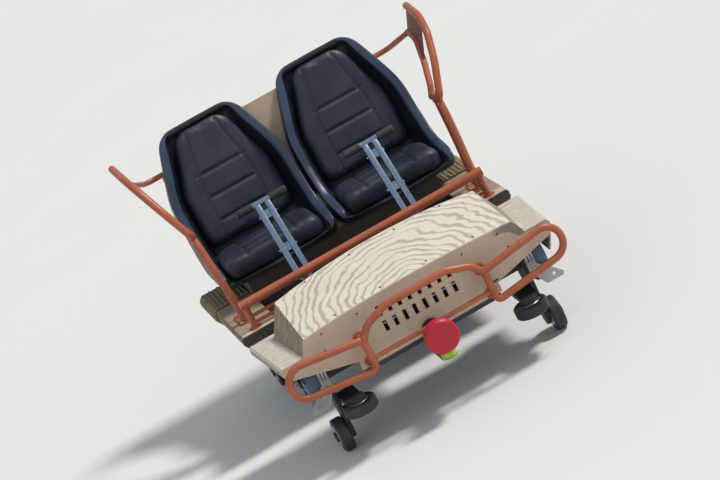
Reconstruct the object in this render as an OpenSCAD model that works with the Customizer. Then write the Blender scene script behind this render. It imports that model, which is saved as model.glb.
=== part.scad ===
// Lead car of a family roller coaster: a two-seat unit with its own rear axle,
// and a nose unit with the front axle that steers about a kingpin.
// Millimetres. +X points forward, +Y to the riders' left, +Z up.
// The lengths below are worked out from the fence plane, and the model is then
// moved along X so that the origin lies under its middle, on the floor.

/* [Wheels] */
// Diameter of a road wheel, which runs on top of the rail
road_d = 240; // [210:246]
// Width of a road wheel
road_w = 70; // [50:80]
// Diameter of a guide wheel, which runs along the inner side of the rail
guide_d = 150; // [120:170]
// Width of a guide wheel
guide_w = 50; // [40:60]
// Diameter of an up-stop wheel, which runs under the rail
upstop_d = 150; // [120:180]
// Width of an up-stop wheel
upstop_w = 50; // [40:60]
// Thickness of the rubber or urethane tyre of a road wheel
tyre_t = 24; // [16:30]
// Distance between the middles of the left and right road wheels
gauge = 1080; // [1060:1100]
// Thickness of the rail that the wheels hold between them
rail_t = 86; // [70:110]
// Width of that rail
rail_w = 100; // [90:120]
// Diameter of the road wheel's stub axle
stub_d = 40; // [30:50]
// Diameter of the guide and up-stop wheels' pins
pin_d = 30; // [20:36]
// Distance of the guide wheels ahead of their axle
guide_ahead = 150; // [140:170]

/* [Seat unit] */
// Width over the side boxes
box_span = 1330; // [1300:1360]
// Height of the side boxes' flat tops above the floor
box_top = 500; // [490:515]
// Depth of a side box
box_h = 125; // [115:130]
// How far the outer side of a box tapers inward to its lower edge
box_taper = 52; // [30:60]
// Wall thickness of boxes, nose and fenders
sheet_t = 8; // [6:10]
// Length of the plain side box behind the fence
box_len = 545; // [520:580]
// Length of the rope-wrapped block behind it
rope_len = 300; // [290:340]
// Distance of the rear axle behind the fence
rear_axle_back = 664; // [655:675]
// Gap between the two seat shells
seat_gap = 16; // [10:30]
// Width of a seat shell at the hips
seat_w = 590; // [560:600]
// Width of a seat shell near its top, where the corners begin
back_top_w = 380; // [350:420]
// Width of a backrest pad at the hips
back_pad_w = 450; // [420:480]
// Distance from the middle of the car to a lap bar
bar_y = 272; // [265:290]
// Height of the cushion's top at its front edge
cushion_z = 700; // [680:730]
// Distance of the seat's front edge behind the fence
seat_front = 370; // [360:400]
// Depth of the seat from its front edge to the backrest
seat_depth = 400; // [370:430]
// Length of the backrest along its slope
back_len = 640; // [580:680]
// Backward lean of the backrest
back_lean = 14; // [10:18]
// Thickness of a seat shell
shell_t = 14; // [10:18]

/* [Fence and side frames] */
// Distance of the fence's posts from the side boxes' outer edge
fence_inset = 75; // [65:95]
// Height of the fence above the side boxes
fence_h = 140; // [130:160]
// Diameter of the fence's top tube
fence_d = 42; // [34:48]
// Diameter of a fence post
post_d = 30; // [26:36]
// Diameter of the two rods under the top tube
rod_d = 16; // [12:20]
// Diameter of the side frame's tubes
frame_d = 34; // [28:38]
// Outward lean of a side frame's lower part
frame_lean = 4; // [2:6]
// Outward lean of its upper rails
frame_flare = 22; // [18:25]
// Height of the joint between the two above the side boxes
frame_joint_h = 430; // [410:450]

/* [Lap bars] */
// Length of a lap bar from its hinge to the handle
bar_len = 475; // [450:500]
// Backward lean of a closed lap bar
bar_lean = 34; // [30:36]
// Distance of the lap bar hinges behind the fence
bar_back = 85; // [80:95]
// Width of the T handle
grip_w = 250; // [200:300]
// Diameter of the T handle
grip_d = 30; // [26:36]

/* [Nose unit] */
// Gap between the seat unit's and the nose unit's side boxes
steer_gap = 150; // [145:180]
// Length of the nose unit's fenders
fender_len = 480; // [470:520]
// Width over the nose unit at the fascia
fascia_w = 1284; // [1260:1300]
// Width of the nose top
nose_w = 970; // [940:990]
// Height of the nose top above the boxes at its rear edge
nose_rise = 140; // [120:160]
// Height of the nose top above the boxes at its front edge
nose_front_rise = 68; // [60:90]
// How far the nose's top bulges up in its middle
nose_crown = 20; // [10:30]
// Thickness of the fascia panel
fascia_t = 12; // [8:16]
// Diameter of the bumper tube
bumper_d = 32; // [28:38]
// Distance of the bumper tube's centre ahead of the fascia
bumper_ahead = 75; // [60:90]
// Diameter of the round buffer pad
buffer_d = 148; // [130:160]
// Thickness of the round buffer pad
buffer_t = 50; // [40:60]
// Diameter of the kingpin
kingpin_d = 50; // [40:56]

/* [Hidden] */

// Colours
ORANGE = "#b9573a";
TAN = "#c9b08a";
PALE_WOOD = "#dcd3bd";
BROWN = "#5d4a3c";
ROPE = "#a68d62";
BLACK = "#1b1e26";
STEEL = "#8d99a6";
DARK_STEEL = "#33363b";
TYRE = "#4d5d73";
RED = "#c3172f";

// Clearances
turn_gap = 0.05;      // radial, between a pin and the bore that turns on it
run_gap = 2;          // between a wheel and the rail or its carrier
cap_t = 8;            // washer at the outer end of a wheel's pin
clear = 5;            // between pieces that move past each other
round_fn = 48;

// Heights, from the floor up: up-stop wheel, rail, road wheel
rail_top = upstop_d + rail_t + 2 * run_gap;
axle_z = rail_top + road_d / 2;
beam_h = 60;
beam_w = 80;
beam_top = axle_z + beam_h / 2;
rail_h = 40;
rail_top_z = beam_top + rail_h;
floor_t = 10;
floor_z = rail_top_z + floor_t;

// Lateral places
rail_in_y = gauge / 2 - rail_w / 2;
plate_t = 20;
plate_y = rail_in_y - run_gap - plate_t;
guide_y = rail_in_y - run_gap - guide_d / 2;
guide_z = rail_top - rail_t / 2;
upstop_y = rail_in_y + upstop_w / 2 + run_gap;
frame_rail_y = 300;
frame_rail_w = 50;
box_in_y = rail_in_y - clear;
box_low = box_top - box_h;
fence_w = box_span - 2 * fence_inset;
wheel_end_y = gauge / 2 + road_w / 2 + run_gap + cap_t;

// Places along the car, measured forward from the fence
box_front_x = 35;
box_rear_x = box_front_x - box_len;
rope_gap = 4;
rope_rear_x = box_rear_x - rope_gap - rope_len;
rear_x = -rear_axle_back;
fender_rear_x = box_front_x + steer_gap;
fascia_x = fender_rear_x + fender_len;
front_x = fascia_x - road_d / 2 - 22;
bumper_x = fascia_x + fascia_t + bumper_ahead;
buffer_x = bumper_x + 45;
front_end = buffer_x + buffer_t;
coupler_reach = 330;
rear_end = rear_x - coupler_reach;
mid_x = (front_end + rear_end) / 2;

// Upper end of the wheel carriers
carrier_half = 70;
carrier_top = axle_z + 34;

// Seat geometry in the side view
seat_y = (seat_w + seat_gap) / 2;
seat_back_x = -seat_front - seat_depth;
base_front_x = -seat_front - 30;
pad_t = 90;
back_pad_t = 60;
shell_z = cushion_z - pad_t;
bolster_h = 60;
back_r = 110;
waist_s = 330;
waist_r = 260;

// Hinge of the lap bars
bar_x = -bar_back;
bar_z = floor_z + 50;
bar_pin_d = 24;

// name, place along the car, side, direction of the guide wheels from the axle
AXLE_ENDS = [
    ["front_left", front_x, 1, 1], ["front_right", front_x, -1, 1],
    ["rear_left", rear_x, 1, -1], ["rear_right", rear_x, -1, -1]
];

function unit(v) = v / norm(v);

// Points of an arc that rounds the corner p1 between p0 and p2
function corner(p0, p1, p2, r, n) =
    let (a = unit(p0 - p1), b = unit(p2 - p1), half = acos(a * b) / 2,
         c = p1 + unit(a + b) * r / sin(half), reach = r / tan(half),
         s = p1 + a * reach - c, e = p1 + b * reach - c, turn = 180 - 2 * half)
    [for (i = [0:n]) c + (sin((1 - i / n) * turn) * s + sin(i / n * turn) * e) / sin(turn)];

// A path through points [x, y, z, corner radius]
function xyz(p) = [p[0], p[1], p[2]];
function open_path(pts, n = 5) = concat([xyz(pts[0])],
    [for (i = [1:len(pts) - 2])
        each corner(xyz(pts[i - 1]), xyz(pts[i]), xyz(pts[i + 1]), pts[i][3], n)],
    [xyz(pts[len(pts) - 1])]);
function closed_path(pts, n = 5) = let (m = len(pts))
    [for (i = [0:m - 1])
        each corner(xyz(pts[(i + m - 1) % m]), xyz(pts[i]), xyz(pts[(i + 1) % m]), pts[i][3], n)];

// A round tube along a flat path. up is the normal of the path's plane.
module tube(path, d, up, closed = false, sides = 12) {
    m = len(path);
    rings = [for (i = [0:m - 1])
        let (before = closed ? path[(i + m - 1) % m] : path[max(i - 1, 0)],
             after = closed ? path[(i + 1) % m] : path[min(i + 1, m - 1)],
             across = cross(up, unit(after - before)))
        each [for (k = [0:sides - 1])
            path[i] + d / 2 * (cos(k * 360 / sides) * up + sin(k * 360 / sides) * across)]];
    last = closed ? m - 1 : m - 2;
    skin = [for (i = [0:last], k = [0:sides - 1])
        let (a = i * sides + k, b = i * sides + (k + 1) % sides,
             j = (i + 1) % m, c = j * sides + (k + 1) % sides, e = j * sides + k)
        [a, b, c, e]];
    ends = closed ? [] : [
        [for (k = [sides - 1:-1:0]) k],
        [for (k = [0:sides - 1]) (m - 1) * sides + k]];
    polyhedron(rings, concat(skin, ends), convexity = 6);
}

// A straight round bar from a to b
module bar(a, b, d, fn = round_fn) {
    v = b - a;
    translate(a)
        rotate([0, acos(v[2] / norm(v)), atan2(v[1], v[0])])
            cylinder(d = d, h = norm(v), $fn = fn);
}

// A box from its lowest to its highest corner
module block(low, high) translate(low) cube(high - low);

module both_sides() {
    children();
    mirror([0, 1, 0]) children();
}

// Moves pieces from the fence's plane to the model's own frame
module on_car() translate([-mid_x, 0, 0]) children();

// A flat outline in the side view, [x, z] points, with its thickness across Y
module side_plate(outline, y0, y1)
    translate([0, y1, 0]) rotate([90, 0, 0]) linear_extrude(y1 - y0) polygon(outline);

// Chassis of the seat unit

module chassis() {
    rail_front = box_front_x - 10;
    rail_rear = rear_x - 130;
    cross_x = [rail_front - 30, -360, rail_rear + 30];
    tongue_w = 120;
    tongue_low = beam_top + clear;
    tongue_high = rail_top_z - clear;
    color(DARK_STEEL) on_car() difference() {
        union() {
            both_sides()
                block([rail_rear, frame_rail_y - frame_rail_w / 2, beam_top],
                      [rail_front, frame_rail_y + frame_rail_w / 2, rail_top_z]);
            for (x = cross_x)
                block([x - 30, -box_in_y + 10, beam_top], [x + 30, box_in_y - 10, rail_top_z]);
            block([-390, -tongue_w / 2, tongue_low], [front_x, tongue_w / 2, tongue_high]);
            translate([front_x, 0, tongue_low])
                cylinder(d = tongue_w, h = tongue_high - tongue_low, $fn = round_fn);
        }
        translate([front_x, 0, tongue_low - 1])
            cylinder(d = kingpin_d + 2 * turn_gap, h = rail_h, $fn = round_fn);
    }
}

module floor_pan() {
    toe_h = 60;
    color(DARK_STEEL) on_car() {
        block([base_front_x, -box_in_y, rail_top_z], [box_front_x - 10, box_in_y, floor_z]);
        both_sides()
            block([base_front_x, box_in_y - 4, floor_z], [box_front_x - 10, box_in_y, box_top - 12]);
        block([box_front_x - 14, -box_in_y + 4, floor_z],
              [box_front_x - 10, box_in_y - 4, floor_z + toe_h]);
    }
}

// Section of a side box across the car, [y, z]. Its foot stays clear of the wheels.
function box_foot(out_y, in) = max(out_y - box_taper, wheel_end_y + clear + sheet_t) - in;
function box_section(out_y, in) = [
    [box_in_y + in, box_low + (in > 0 ? -1 : 0)],
    [box_foot(out_y, in), box_low + (in > 0 ? -1 : 0)],
    [box_foot(out_y, in), box_low + 12],
    [out_y - in, box_top - 34],
    [out_y - in, box_top - 10 - in / 2],
    [out_y - 10 - in / 2, box_top - in],
    [box_in_y + in, box_top - in]
];

// A hollow box along the car, open below, from x0 to x1
module hollow_box(x0, x1, out_y, wall) difference() {
    translate([x0, 0, 0]) rotate([90, 0, 90])
        linear_extrude(x1 - x0) polygon(box_section(out_y, 0));
    translate([x0 + wall, 0, 0]) rotate([90, 0, 90])
        linear_extrude(x1 - x0 - 2 * wall) polygon(box_section(out_y, wall));
}

module side_boxes() {
    color(BROWN) on_car() both_sides()
        hollow_box(box_rear_x, box_front_x, box_span / 2, sheet_t);
}

// Notch in a box's inner wall that the wheel carrier at x stands in
module axle_notch(x)
    block([x - carrier_half - clear, box_in_y - 1, box_low - 2],
          [x + carrier_half + clear, box_in_y + sheet_t + 1, carrier_top + clear]);

module rope_blocks() {
    color(ROPE) on_car() both_sides() difference() {
        hollow_box(rope_rear_x, box_rear_x - rope_gap, box_span / 2, sheet_t);
        axle_notch(rear_x);
    }
}

// The fence is one cross tube on a post at each end, with two rods below it
module fence() {
    top_z = box_top + fence_h - fence_d / 2;
    rod_z = [box_top + 26, box_top + 58];
    post_y = fence_w / 2;
    color(ORANGE) on_car() {
        bar([0, -post_y - 12, top_z], [0, post_y + 12, top_z], fence_d);
        both_sides() {
            bar([0, post_y - 8, box_top], [0, post_y - 8, top_z], post_d);
            translate([0, post_y - 8, box_top]) cylinder(d = 60, h = 8, $fn = round_fn);
        }
        for (z = rod_z)
            bar([0, -post_y + 8, z], [0, post_y - 8, z], rod_d);
        both_sides() for (y = [30, 290])
            block([-5, y - 12, box_top + 22], [5, y + 12, top_z]);
    }
}

// Side frames beside the seats: a foot that leans out a little, and above its
// joint two rails that flare out, with a perforated plate between them.
// Both parts are flat. Their points are [along the car, up along their plane].

frame_foot_front = [[-165, -20], [-170, 130], [-192, 270], [-222, 372], [-262, 436]];
frame_foot_rear = [[-345, 436], [-318, 350], [-284, 240], [-262, 120], [-256, -20]];
frame_outer = [[-352, -4], [-214, -4], [-258, 165], [-345, 280], [-470, 338], [-672, 358]];
frame_outer_r = [0, 34, 160, 110, 160, 0];
frame_inner = [[-336, -8], [-362, 40], [-440, 140], [-545, 222], [-672, 240]];
frame_inner_r = [0, 60, 200, 120, 0];
frame_tie = [-600, 290];

module on_foot_plane()
    translate([0, fence_w / 2, box_top]) rotate([-frame_lean, 0, 0]) children();

module on_rail_plane()
    on_foot_plane() translate([0, 0, frame_joint_h]) rotate([frame_lean - frame_flare, 0, 0]) children();

// The point [x, h] of the rails' plane, in the car
function on_rails(p) = [p[0],
    fence_w / 2 + frame_joint_h * sin(frame_lean) + p[1] * sin(frame_flare),
    box_top + frame_joint_h * cos(frame_lean) + p[1] * cos(frame_flare)];

function rounded(pts, radii) = [for (i = [0:len(pts) - 1]) [pts[i][0], 0, pts[i][1], radii[i]]];

module side_frame(side) {
    up = [0, 1, 0];
    foot_t = 10;
    web_t = 6;
    hole_d = 20;
    stretch = frame_joint_h / 430;
    function foot(pts) = [for (p = pts) [p[0], p[1] * stretch]];
    web = concat([for (i = [1:5]) frame_outer[i]], [for (i = [4:-1:0]) frame_inner[i]]);
    color(ORANGE) on_car() mirror([0, side < 0 ? 1 : 0, 0]) {
        intersection() {
            on_foot_plane() {
                tube(open_path(rounded(foot(frame_foot_front), [0, 260, 260, 160, 0])), frame_d, up);
                side_plate(foot(concat(frame_foot_front, frame_foot_rear)), -foot_t / 2, foot_t / 2);
            }
            block([-900, 0, box_top], [0, 900, 1600]);
        }
        on_rail_plane() {
            tube(open_path(rounded(frame_outer, frame_outer_r)), frame_d, up);
            tube(open_path(rounded(frame_inner, frame_inner_r)), frame_d * 0.85, up);
            difference() {
                side_plate(web, -web_t / 2, web_t / 2);
                for (i = [0:4], j = [0:1])
                    translate([-430 - 48 * i, 0, 208 + 19 * i + 30 * j]) rotate([90, 0, 0])
                        cylinder(d = hole_d, h = web_t + 2, center = true, $fn = 24);
            }
        }
    }
}

// Seats

module seat_base() {
    color(BROWN) on_car() difference() {
        block([seat_back_x, -box_in_y, rail_top_z], [base_front_x, box_in_y, shell_z - shell_t]);
        block([seat_back_x + sheet_t, -box_in_y + sheet_t, rail_top_z - 1],
              [base_front_x - sheet_t, box_in_y - sheet_t, shell_z - shell_t - sheet_t]);
    }
}

// Points of the seat's side view: d is the distance above the shell's inner face
function back_at(s, d) = [
    seat_back_x - s * sin(back_lean) + d * cos(back_lean),
    shell_z + s * cos(back_lean) + d * sin(back_lean)];

// Outline of a seat seen from the front, [y, s]: straight beside the hips, then
// narrower towards its rounded top. in is how far it lies inside the shell's edge.
function back_half(half, top_half, low, high, in) = let (
    waist = [half - in, waist_s], top = [top_half - in, high - in], foot = [half - in, low])
    concat([foot], corner(foot, waist, top, waist_r, 5),
           corner(waist, top, [in - top_half, high - in], back_r - in, 8));
function back_outline(half, top_half, low, high, in) = let (
    right = back_half(half, top_half, low, high, in))
    concat(right, [for (i = [len(right) - 1:-1:0]) [-right[i][0], right[i][1]]]);

// A plate with that outline, from d0 to d1 above the shell's inner face
module back_plate(outline, d0, d1)
    translate([seat_back_x, seat_y, shell_z]) rotate([0, -back_lean, 0]) translate([d0, 0, 0])
        rotate([90, 0, 90]) linear_extrude(d1 - d0) polygon(outline);

// A bucket: its side view cut by its front view, and hollowed from above
module seat_shell(side) {
    half = seat_w / 2;
    top_half = back_top_w / 2;
    front = -seat_front;
    rim = [[front, shell_z - shell_t], [front, shell_z + 30], [front - 40, shell_z + bolster_h],
           [seat_back_x + 190, shell_z + bolster_h + 20], back_at(200, 125), back_at(back_len - 200, 92),
           back_at(back_len - 60, 50), back_at(back_len + 1, 26), back_at(back_len + 1, -shell_t),
           back_at(0, -shell_t), [seat_back_x - 10, shell_z - shell_t]];
    inside = [[front + 1, shell_z], [front + 1, shell_z + 400], back_at(back_len + 2, 400),
              back_at(back_len + 2, 0), back_at(0, 0)];
    color(BLACK) on_car() mirror([0, side < 0 ? 1 : 0, 0]) difference() {
        intersection() {
            side_plate(rim, seat_y - half - 1, seat_y + half + 1);
            back_plate(back_outline(half, top_half, -200, back_len, 0), -shell_t - 1, 600);
        }
        intersection() {
            side_plate(inside, seat_y - half - 1, seat_y + half + 1);
            back_plate(back_outline(half, top_half, -220, back_len, shell_t), -1, 620);
        }
    }
}

module seat_pad(side) {
    half = seat_w / 2 - shell_t - 12;
    color(BLACK) on_car() mirror([0, side < 0 ? 1 : 0, 0])
        side_plate([[-seat_front - 4, shell_z + 0.3], [-seat_front - 4, cushion_z - 22],
                    [-seat_front - 30, cushion_z], [seat_back_x + back_pad_t + 24, cushion_z - 14],
                    [seat_back_x + back_pad_t + 24, shell_z + 0.3]],
                   seat_y - half, seat_y + half);
}

module back_pad(side) {
    half = back_pad_w / 2;
    top_half = half - (seat_w - back_top_w) / 2;
    high = back_len - shell_t - 4;
    color(BLACK) on_car() mirror([0, side < 0 ? 1 : 0, 0]) intersection() {
        side_plate([back_at(60, 0.3), back_at(high + 1, 0.3), back_at(high - 8, back_pad_t * 0.6),
                    back_at(back_len - 60, back_pad_t), back_at(110, back_pad_t),
                    back_at(60, back_pad_t - 20)], seat_y - half - 1, seat_y + half + 1);
        back_plate(back_outline(half, top_half, 50, high, 0), -1, back_pad_t + 1);
    }
}

// The panel that closes the seats' backs, with cut corners
module back_cover() {
    w = seat_y + seat_w / 2 - 40;
    cut = 110;
    low = 60;
    high = back_len - 70;
    panel_t = 10;
    color(TAN) on_car()
        translate([seat_back_x, 0, shell_z]) rotate([0, -back_lean, 0])
            translate([-shell_t - panel_t - 0.1, 0, 0]) rotate([90, 0, 90]) linear_extrude(panel_t)
                polygon([[-w + cut, low], [w - cut, low], [w, low + cut], [w, high - cut],
                         [w - cut, high], [-w + cut, high], [-w, high - cut], [-w, low + cut]]);
}

// Two cross bars behind the backs. The upper one ends on the plates of the side frames.
module back_bars() {
    d = 26;
    panel_back = shell_t + 10.1;
    tie = on_rails(frame_tie);
    bar_s = (tie[2] - shell_z) / cos(back_lean);
    high_x = back_at(bar_s, -panel_back - d / 2 - 2)[0];
    low = back_at(150, -panel_back - d / 2);
    turn_y = seat_y + seat_w / 2 + 30;
    path = open_path([
        [tie[0], tie[1] + 10, tie[2], 0], [high_x, turn_y, tie[2], 60],
        [high_x, -turn_y, tie[2], 60], [tie[0], -tie[1] - 10, tie[2], 0]]);
    color(ORANGE) on_car() {
        difference() {
            tube(path, d, [0, 0, 1]);
            both_sides() on_rail_plane() block([-900, -3, 100], [-300, 200, 500]);
        }
        bar([low[0], -430, low[1]], [low[0], 430, low[1]], d);
    }
}

// Lap bars and the brackets they turn in

module bar_brackets() {
    ear_t = 10;
    ear_gap = 60;
    color(STEEL) on_car() for (y = [bar_y, -bar_y]) {
        for (s = [-1, 1])
            translate([0, y + s * (ear_gap + ear_t) / 2, 0]) rotate([90, 0, 0])
                linear_extrude(ear_t, center = true) difference() {
                    polygon([[bar_x - 45, floor_z], [bar_x + 45, floor_z],
                             [bar_x + 24, bar_z + 20], [bar_x - 24, bar_z + 20]]);
                    translate([bar_x, bar_z]) circle(d = bar_pin_d + 2 * turn_gap, $fn = round_fn);
                }
    }
}

module lap_bar(side) {
    hub_w = 48;
    strip_t = 8;
    strip_gap = 24;
    strip_h = 34;
    grip_r = grip_d / 2;
    color(STEEL) on_car() mirror([0, side < 0 ? 1 : 0, 0])
        translate([bar_x, bar_y, bar_z]) {
            rotate([90, 0, 0]) cylinder(d = bar_pin_d, h = 96, center = true, $fn = round_fn);
            rotate([90, 0, 0]) cylinder(d = 46, h = hub_w, center = true, $fn = round_fn);
            rotate([0, -bar_lean, 0]) {
                for (s = [-1, 1])
                    block([-strip_h / 2, s > 0 ? strip_gap / 2 : -strip_gap / 2 - strip_t, 12],
                          [strip_h / 2, s > 0 ? strip_gap / 2 + strip_t : -strip_gap / 2, bar_len - 4]);
                for (z = [90, bar_len - 60])
                    block([-strip_h / 2 + 4, -strip_gap / 2, z - 22], [strip_h / 2 - 4, strip_gap / 2, z + 22]);
                translate([0, 0, bar_len]) rotate([90, 0, 0])
                    cylinder(r = grip_r, h = grip_w, center = true, $fn = round_fn);
            }
        }
}

// Axles with the carriers of the guide and up-stop wheels

module carrier(dir) {
    z_low = upstop_d / 2;
    rotate([90, 0, 0]) translate([0, 0, -plate_y - plate_t]) linear_extrude(plate_t)
        polygon([[-carrier_half, carrier_top], [carrier_half, carrier_top],
                 [74, axle_z - 30], [34, z_low - 10],
                 [14, z_low - 30], [-14, z_low - 30], [-34, z_low - 10], [-74, axle_z - 30]]);
    arm_low = guide_z + guide_w / 2 + run_gap;
    arm_x = guide_ahead * dir;
    block([min(0, arm_x), guide_y - 26, arm_low], [max(0, arm_x), plate_y, arm_low + 22]);
    translate([arm_x, guide_y, arm_low]) cylinder(d = 70, h = 22, $fn = round_fn);
    translate([arm_x, guide_y, guide_z - guide_w / 2 - run_gap])
        cylinder(d = pin_d, h = guide_w + 2 * run_gap + 2, $fn = round_fn);
    translate([arm_x, guide_y, guide_z - guide_w / 2 - run_gap - cap_t])
        cylinder(d = pin_d + 16, h = cap_t, $fn = round_fn);
    end_y = gauge / 2 + road_w / 2 + run_gap;
    translate([0, plate_y, axle_z]) rotate([-90, 0, 0])
        cylinder(d = stub_d, h = end_y - plate_y, $fn = round_fn);
    translate([0, end_y, axle_z]) rotate([-90, 0, 0])
        cylinder(d = stub_d + 20, h = cap_t, $fn = round_fn);
    collar_y = plate_y + plate_t;
    translate([0, collar_y, axle_z]) rotate([-90, 0, 0])
        cylinder(d = stub_d + 24, h = gauge / 2 - road_w / 2 - run_gap - collar_y, $fn = round_fn);
    pin_end = upstop_y + upstop_w / 2 + run_gap;
    translate([0, plate_y, upstop_d / 2]) rotate([-90, 0, 0])
        cylinder(d = pin_d, h = pin_end - plate_y, $fn = round_fn);
    translate([0, pin_end, upstop_d / 2]) rotate([-90, 0, 0])
        cylinder(d = pin_d + 16, h = cap_t, $fn = round_fn);
}

module axle(dir) {
    block([-beam_w / 2, -plate_y, axle_z - beam_h / 2], [beam_w / 2, plate_y, beam_top]);
    both_sides() carrier(dir);
}

module rear_axle() {
    color(DARK_STEEL) on_car() translate([rear_x, 0, 0]) {
        axle(-1);
        difference() {
            union() {
                block([-coupler_reach + 40, -40, axle_z - 20], [0, 40, axle_z + 20]);
                translate([-coupler_reach + 40, 0, axle_z - 20]) cylinder(d = 80, h = 40, $fn = round_fn);
            }
            translate([-coupler_reach + 40, 0, axle_z - 21]) cylinder(d = 30, h = 42, $fn = round_fn);
        }
    }
}

module front_axle() {
    color(DARK_STEEL) on_car() translate([front_x, 0, 0]) {
        axle(1);
        translate([0, 0, beam_top - 1]) cylinder(d = kingpin_d, h = rail_h + 1, $fn = round_fn);
    }
}

// Nose unit

nose_frame_h = 40;
tow_low = 222;
tow_t = 32;
tow_reach = 100;
tow_eye_d = 30;
nose_rail_top = rail_top_z + nose_frame_h;

module nose_frame() {
    rear = fender_rear_x + 40;
    color(DARK_STEEL) on_car() {
        both_sides() {
            block([rear, frame_rail_y - frame_rail_w / 2, rail_top_z],
                  [fascia_x, frame_rail_y + frame_rail_w / 2, nose_rail_top]);
            block([front_x - beam_w / 2, frame_rail_y - frame_rail_w / 2, beam_top],
                  [front_x + beam_w / 2, frame_rail_y + frame_rail_w / 2, rail_top_z]);
            block([fascia_x - 40, frame_rail_y - frame_rail_w / 2, 300],
                  [fascia_x, frame_rail_y + frame_rail_w / 2, rail_top_z]);
        }
        block([front_x - 60, -box_in_y, rail_top_z], [front_x + 60, box_in_y, nose_rail_top]);
        block([rear, -box_in_y, rail_top_z], [rear + 50, box_in_y, nose_rail_top]);
        difference() {
            union() {
                block([fascia_x - 40, -frame_rail_y, 300], [fascia_x, frame_rail_y, 340]);
                block([fascia_x - 40, -35, tow_low], [fascia_x, 35, 300]);
                block([fascia_x, -35, tow_low], [fascia_x + tow_reach, 35, tow_low + tow_t]);
                translate([fascia_x + tow_reach, 0, tow_low]) cylinder(d = 70, h = tow_t, $fn = round_fn);
            }
            translate([fascia_x + tow_reach, 0, tow_low - 1])
                cylinder(d = tow_eye_d, h = tow_t + 2, $fn = round_fn);
        }
    }
}

// Half outline of the nose across the car, [y, z], from the middle outwards
function nose_half(top, half_w, foot_y, in) = [for (i = [0:5])
    let (y = (half_w - in) * i / 5) [y, top - in + nose_crown * (1 - pow(i / 5, 2))]];

module nose_section(x, top, half_w, foot_y, in) {
    half = concat(nose_half(top, half_w, foot_y, in),
                  [[half_w - in + 4, top - in - 12],
                   [foot_y - in, box_top + (in > 0 ? -1 : 0)]]);
    other = [for (i = [len(half) - 1:-1:1]) [-half[i][0], half[i][1]]];
    translate([x, 0, 0]) rotate([90, 0, 90]) linear_extrude(0.5) polygon(concat(half, other));
}

module nose_solid(x0, x1, in) hull() {
    nose_section(x0, box_top + nose_rise, nose_w / 2, nose_w / 2 + 80, in);
    nose_section(x1 - 0.5, box_top + nose_front_rise, nose_w / 2 + 10, nose_w / 2 + 46, in);
}

module nose_box() {
    rear = fender_rear_x + 8;
    bow_r = 2600;
    color(PALE_WOOD) on_car() difference() {
        intersection() {
            nose_solid(rear, fascia_x, 0);
            translate([rear + bow_r, 0, box_top - 50]) cylinder(r = bow_r, h = 400, $fn = 180);
        }
        intersection() {
            nose_solid(rear, fascia_x + 1, sheet_t);
            translate([rear + bow_r, 0, box_top - 50]) cylinder(r = bow_r - sheet_t, h = 400, $fn = 180);
        }
    }
}

// Fenders over the front wheels. They narrow a little towards the front.
module fender_section(x, out_y, in) {
    translate([x, 0, 0]) rotate([90, 0, 90]) linear_extrude(0.5) polygon(box_section(out_y, in));
}

module fenders() {
    rear_y = box_span / 2 + 4;
    front_y = fascia_w / 2;
    color(PALE_WOOD) on_car() both_sides() difference() {
        hull() {
            fender_section(fender_rear_x, rear_y, 0);
            fender_section(fascia_x - 0.5, front_y, 0);
        }
        hull() {
            fender_section(fender_rear_x + sheet_t, rear_y, sheet_t);
            fender_section(fascia_x + 1, front_y, sheet_t);
        }
        axle_notch(front_x);
    }
}

// Bumper places: the hoops' low edge, [y, z] where they join the middle,
// [y, low z, high z] of their outer ends, and [y, z] of the middle's top
bumper_low = 322;
bumper_joint = [288, 466];
bumper_out = [645, 366, 515];
bumper_mid = [142, 550];

slot_count = 8;
slot_pitch = 47;
slot_size = [18, 48];
slot_rows = [444, 514];

module fascia() {
    half_top = nose_w / 2 + 10;
    top = box_top + nose_front_rise;
    half = concat(
        [for (i = [0:5]) [half_top * i / 5, top + nose_crown * (1 - pow(i / 5, 2))]],
        [[half_top + 12, top - 16], [nose_w / 2 + 46, box_top], [fascia_w / 2 - 10, box_top],
         [fascia_w / 2, box_top - 10], [fascia_w / 2, box_top - 34], [fascia_w / 2 - 24, box_top - 64],
         [335, bumper_low + 44], [335, bumper_low + 2], [0, bumper_low + 2]]);
    other = [for (i = [len(half) - 2:-1:1]) [-half[i][0], half[i][1]]];
    color(TAN) on_car() translate([fascia_x, 0, 0]) rotate([90, 0, 90]) linear_extrude(fascia_t)
        difference() {
            polygon(concat(half, other));
            for (z = slot_rows, i = [0:slot_count - 1])
                translate([(i - (slot_count - 1) / 2) * slot_pitch, z]) square(slot_size, center = true);
        }
}

// The bumper: a hoop round each wheel, a raised middle and a low bar, in one plane

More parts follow.
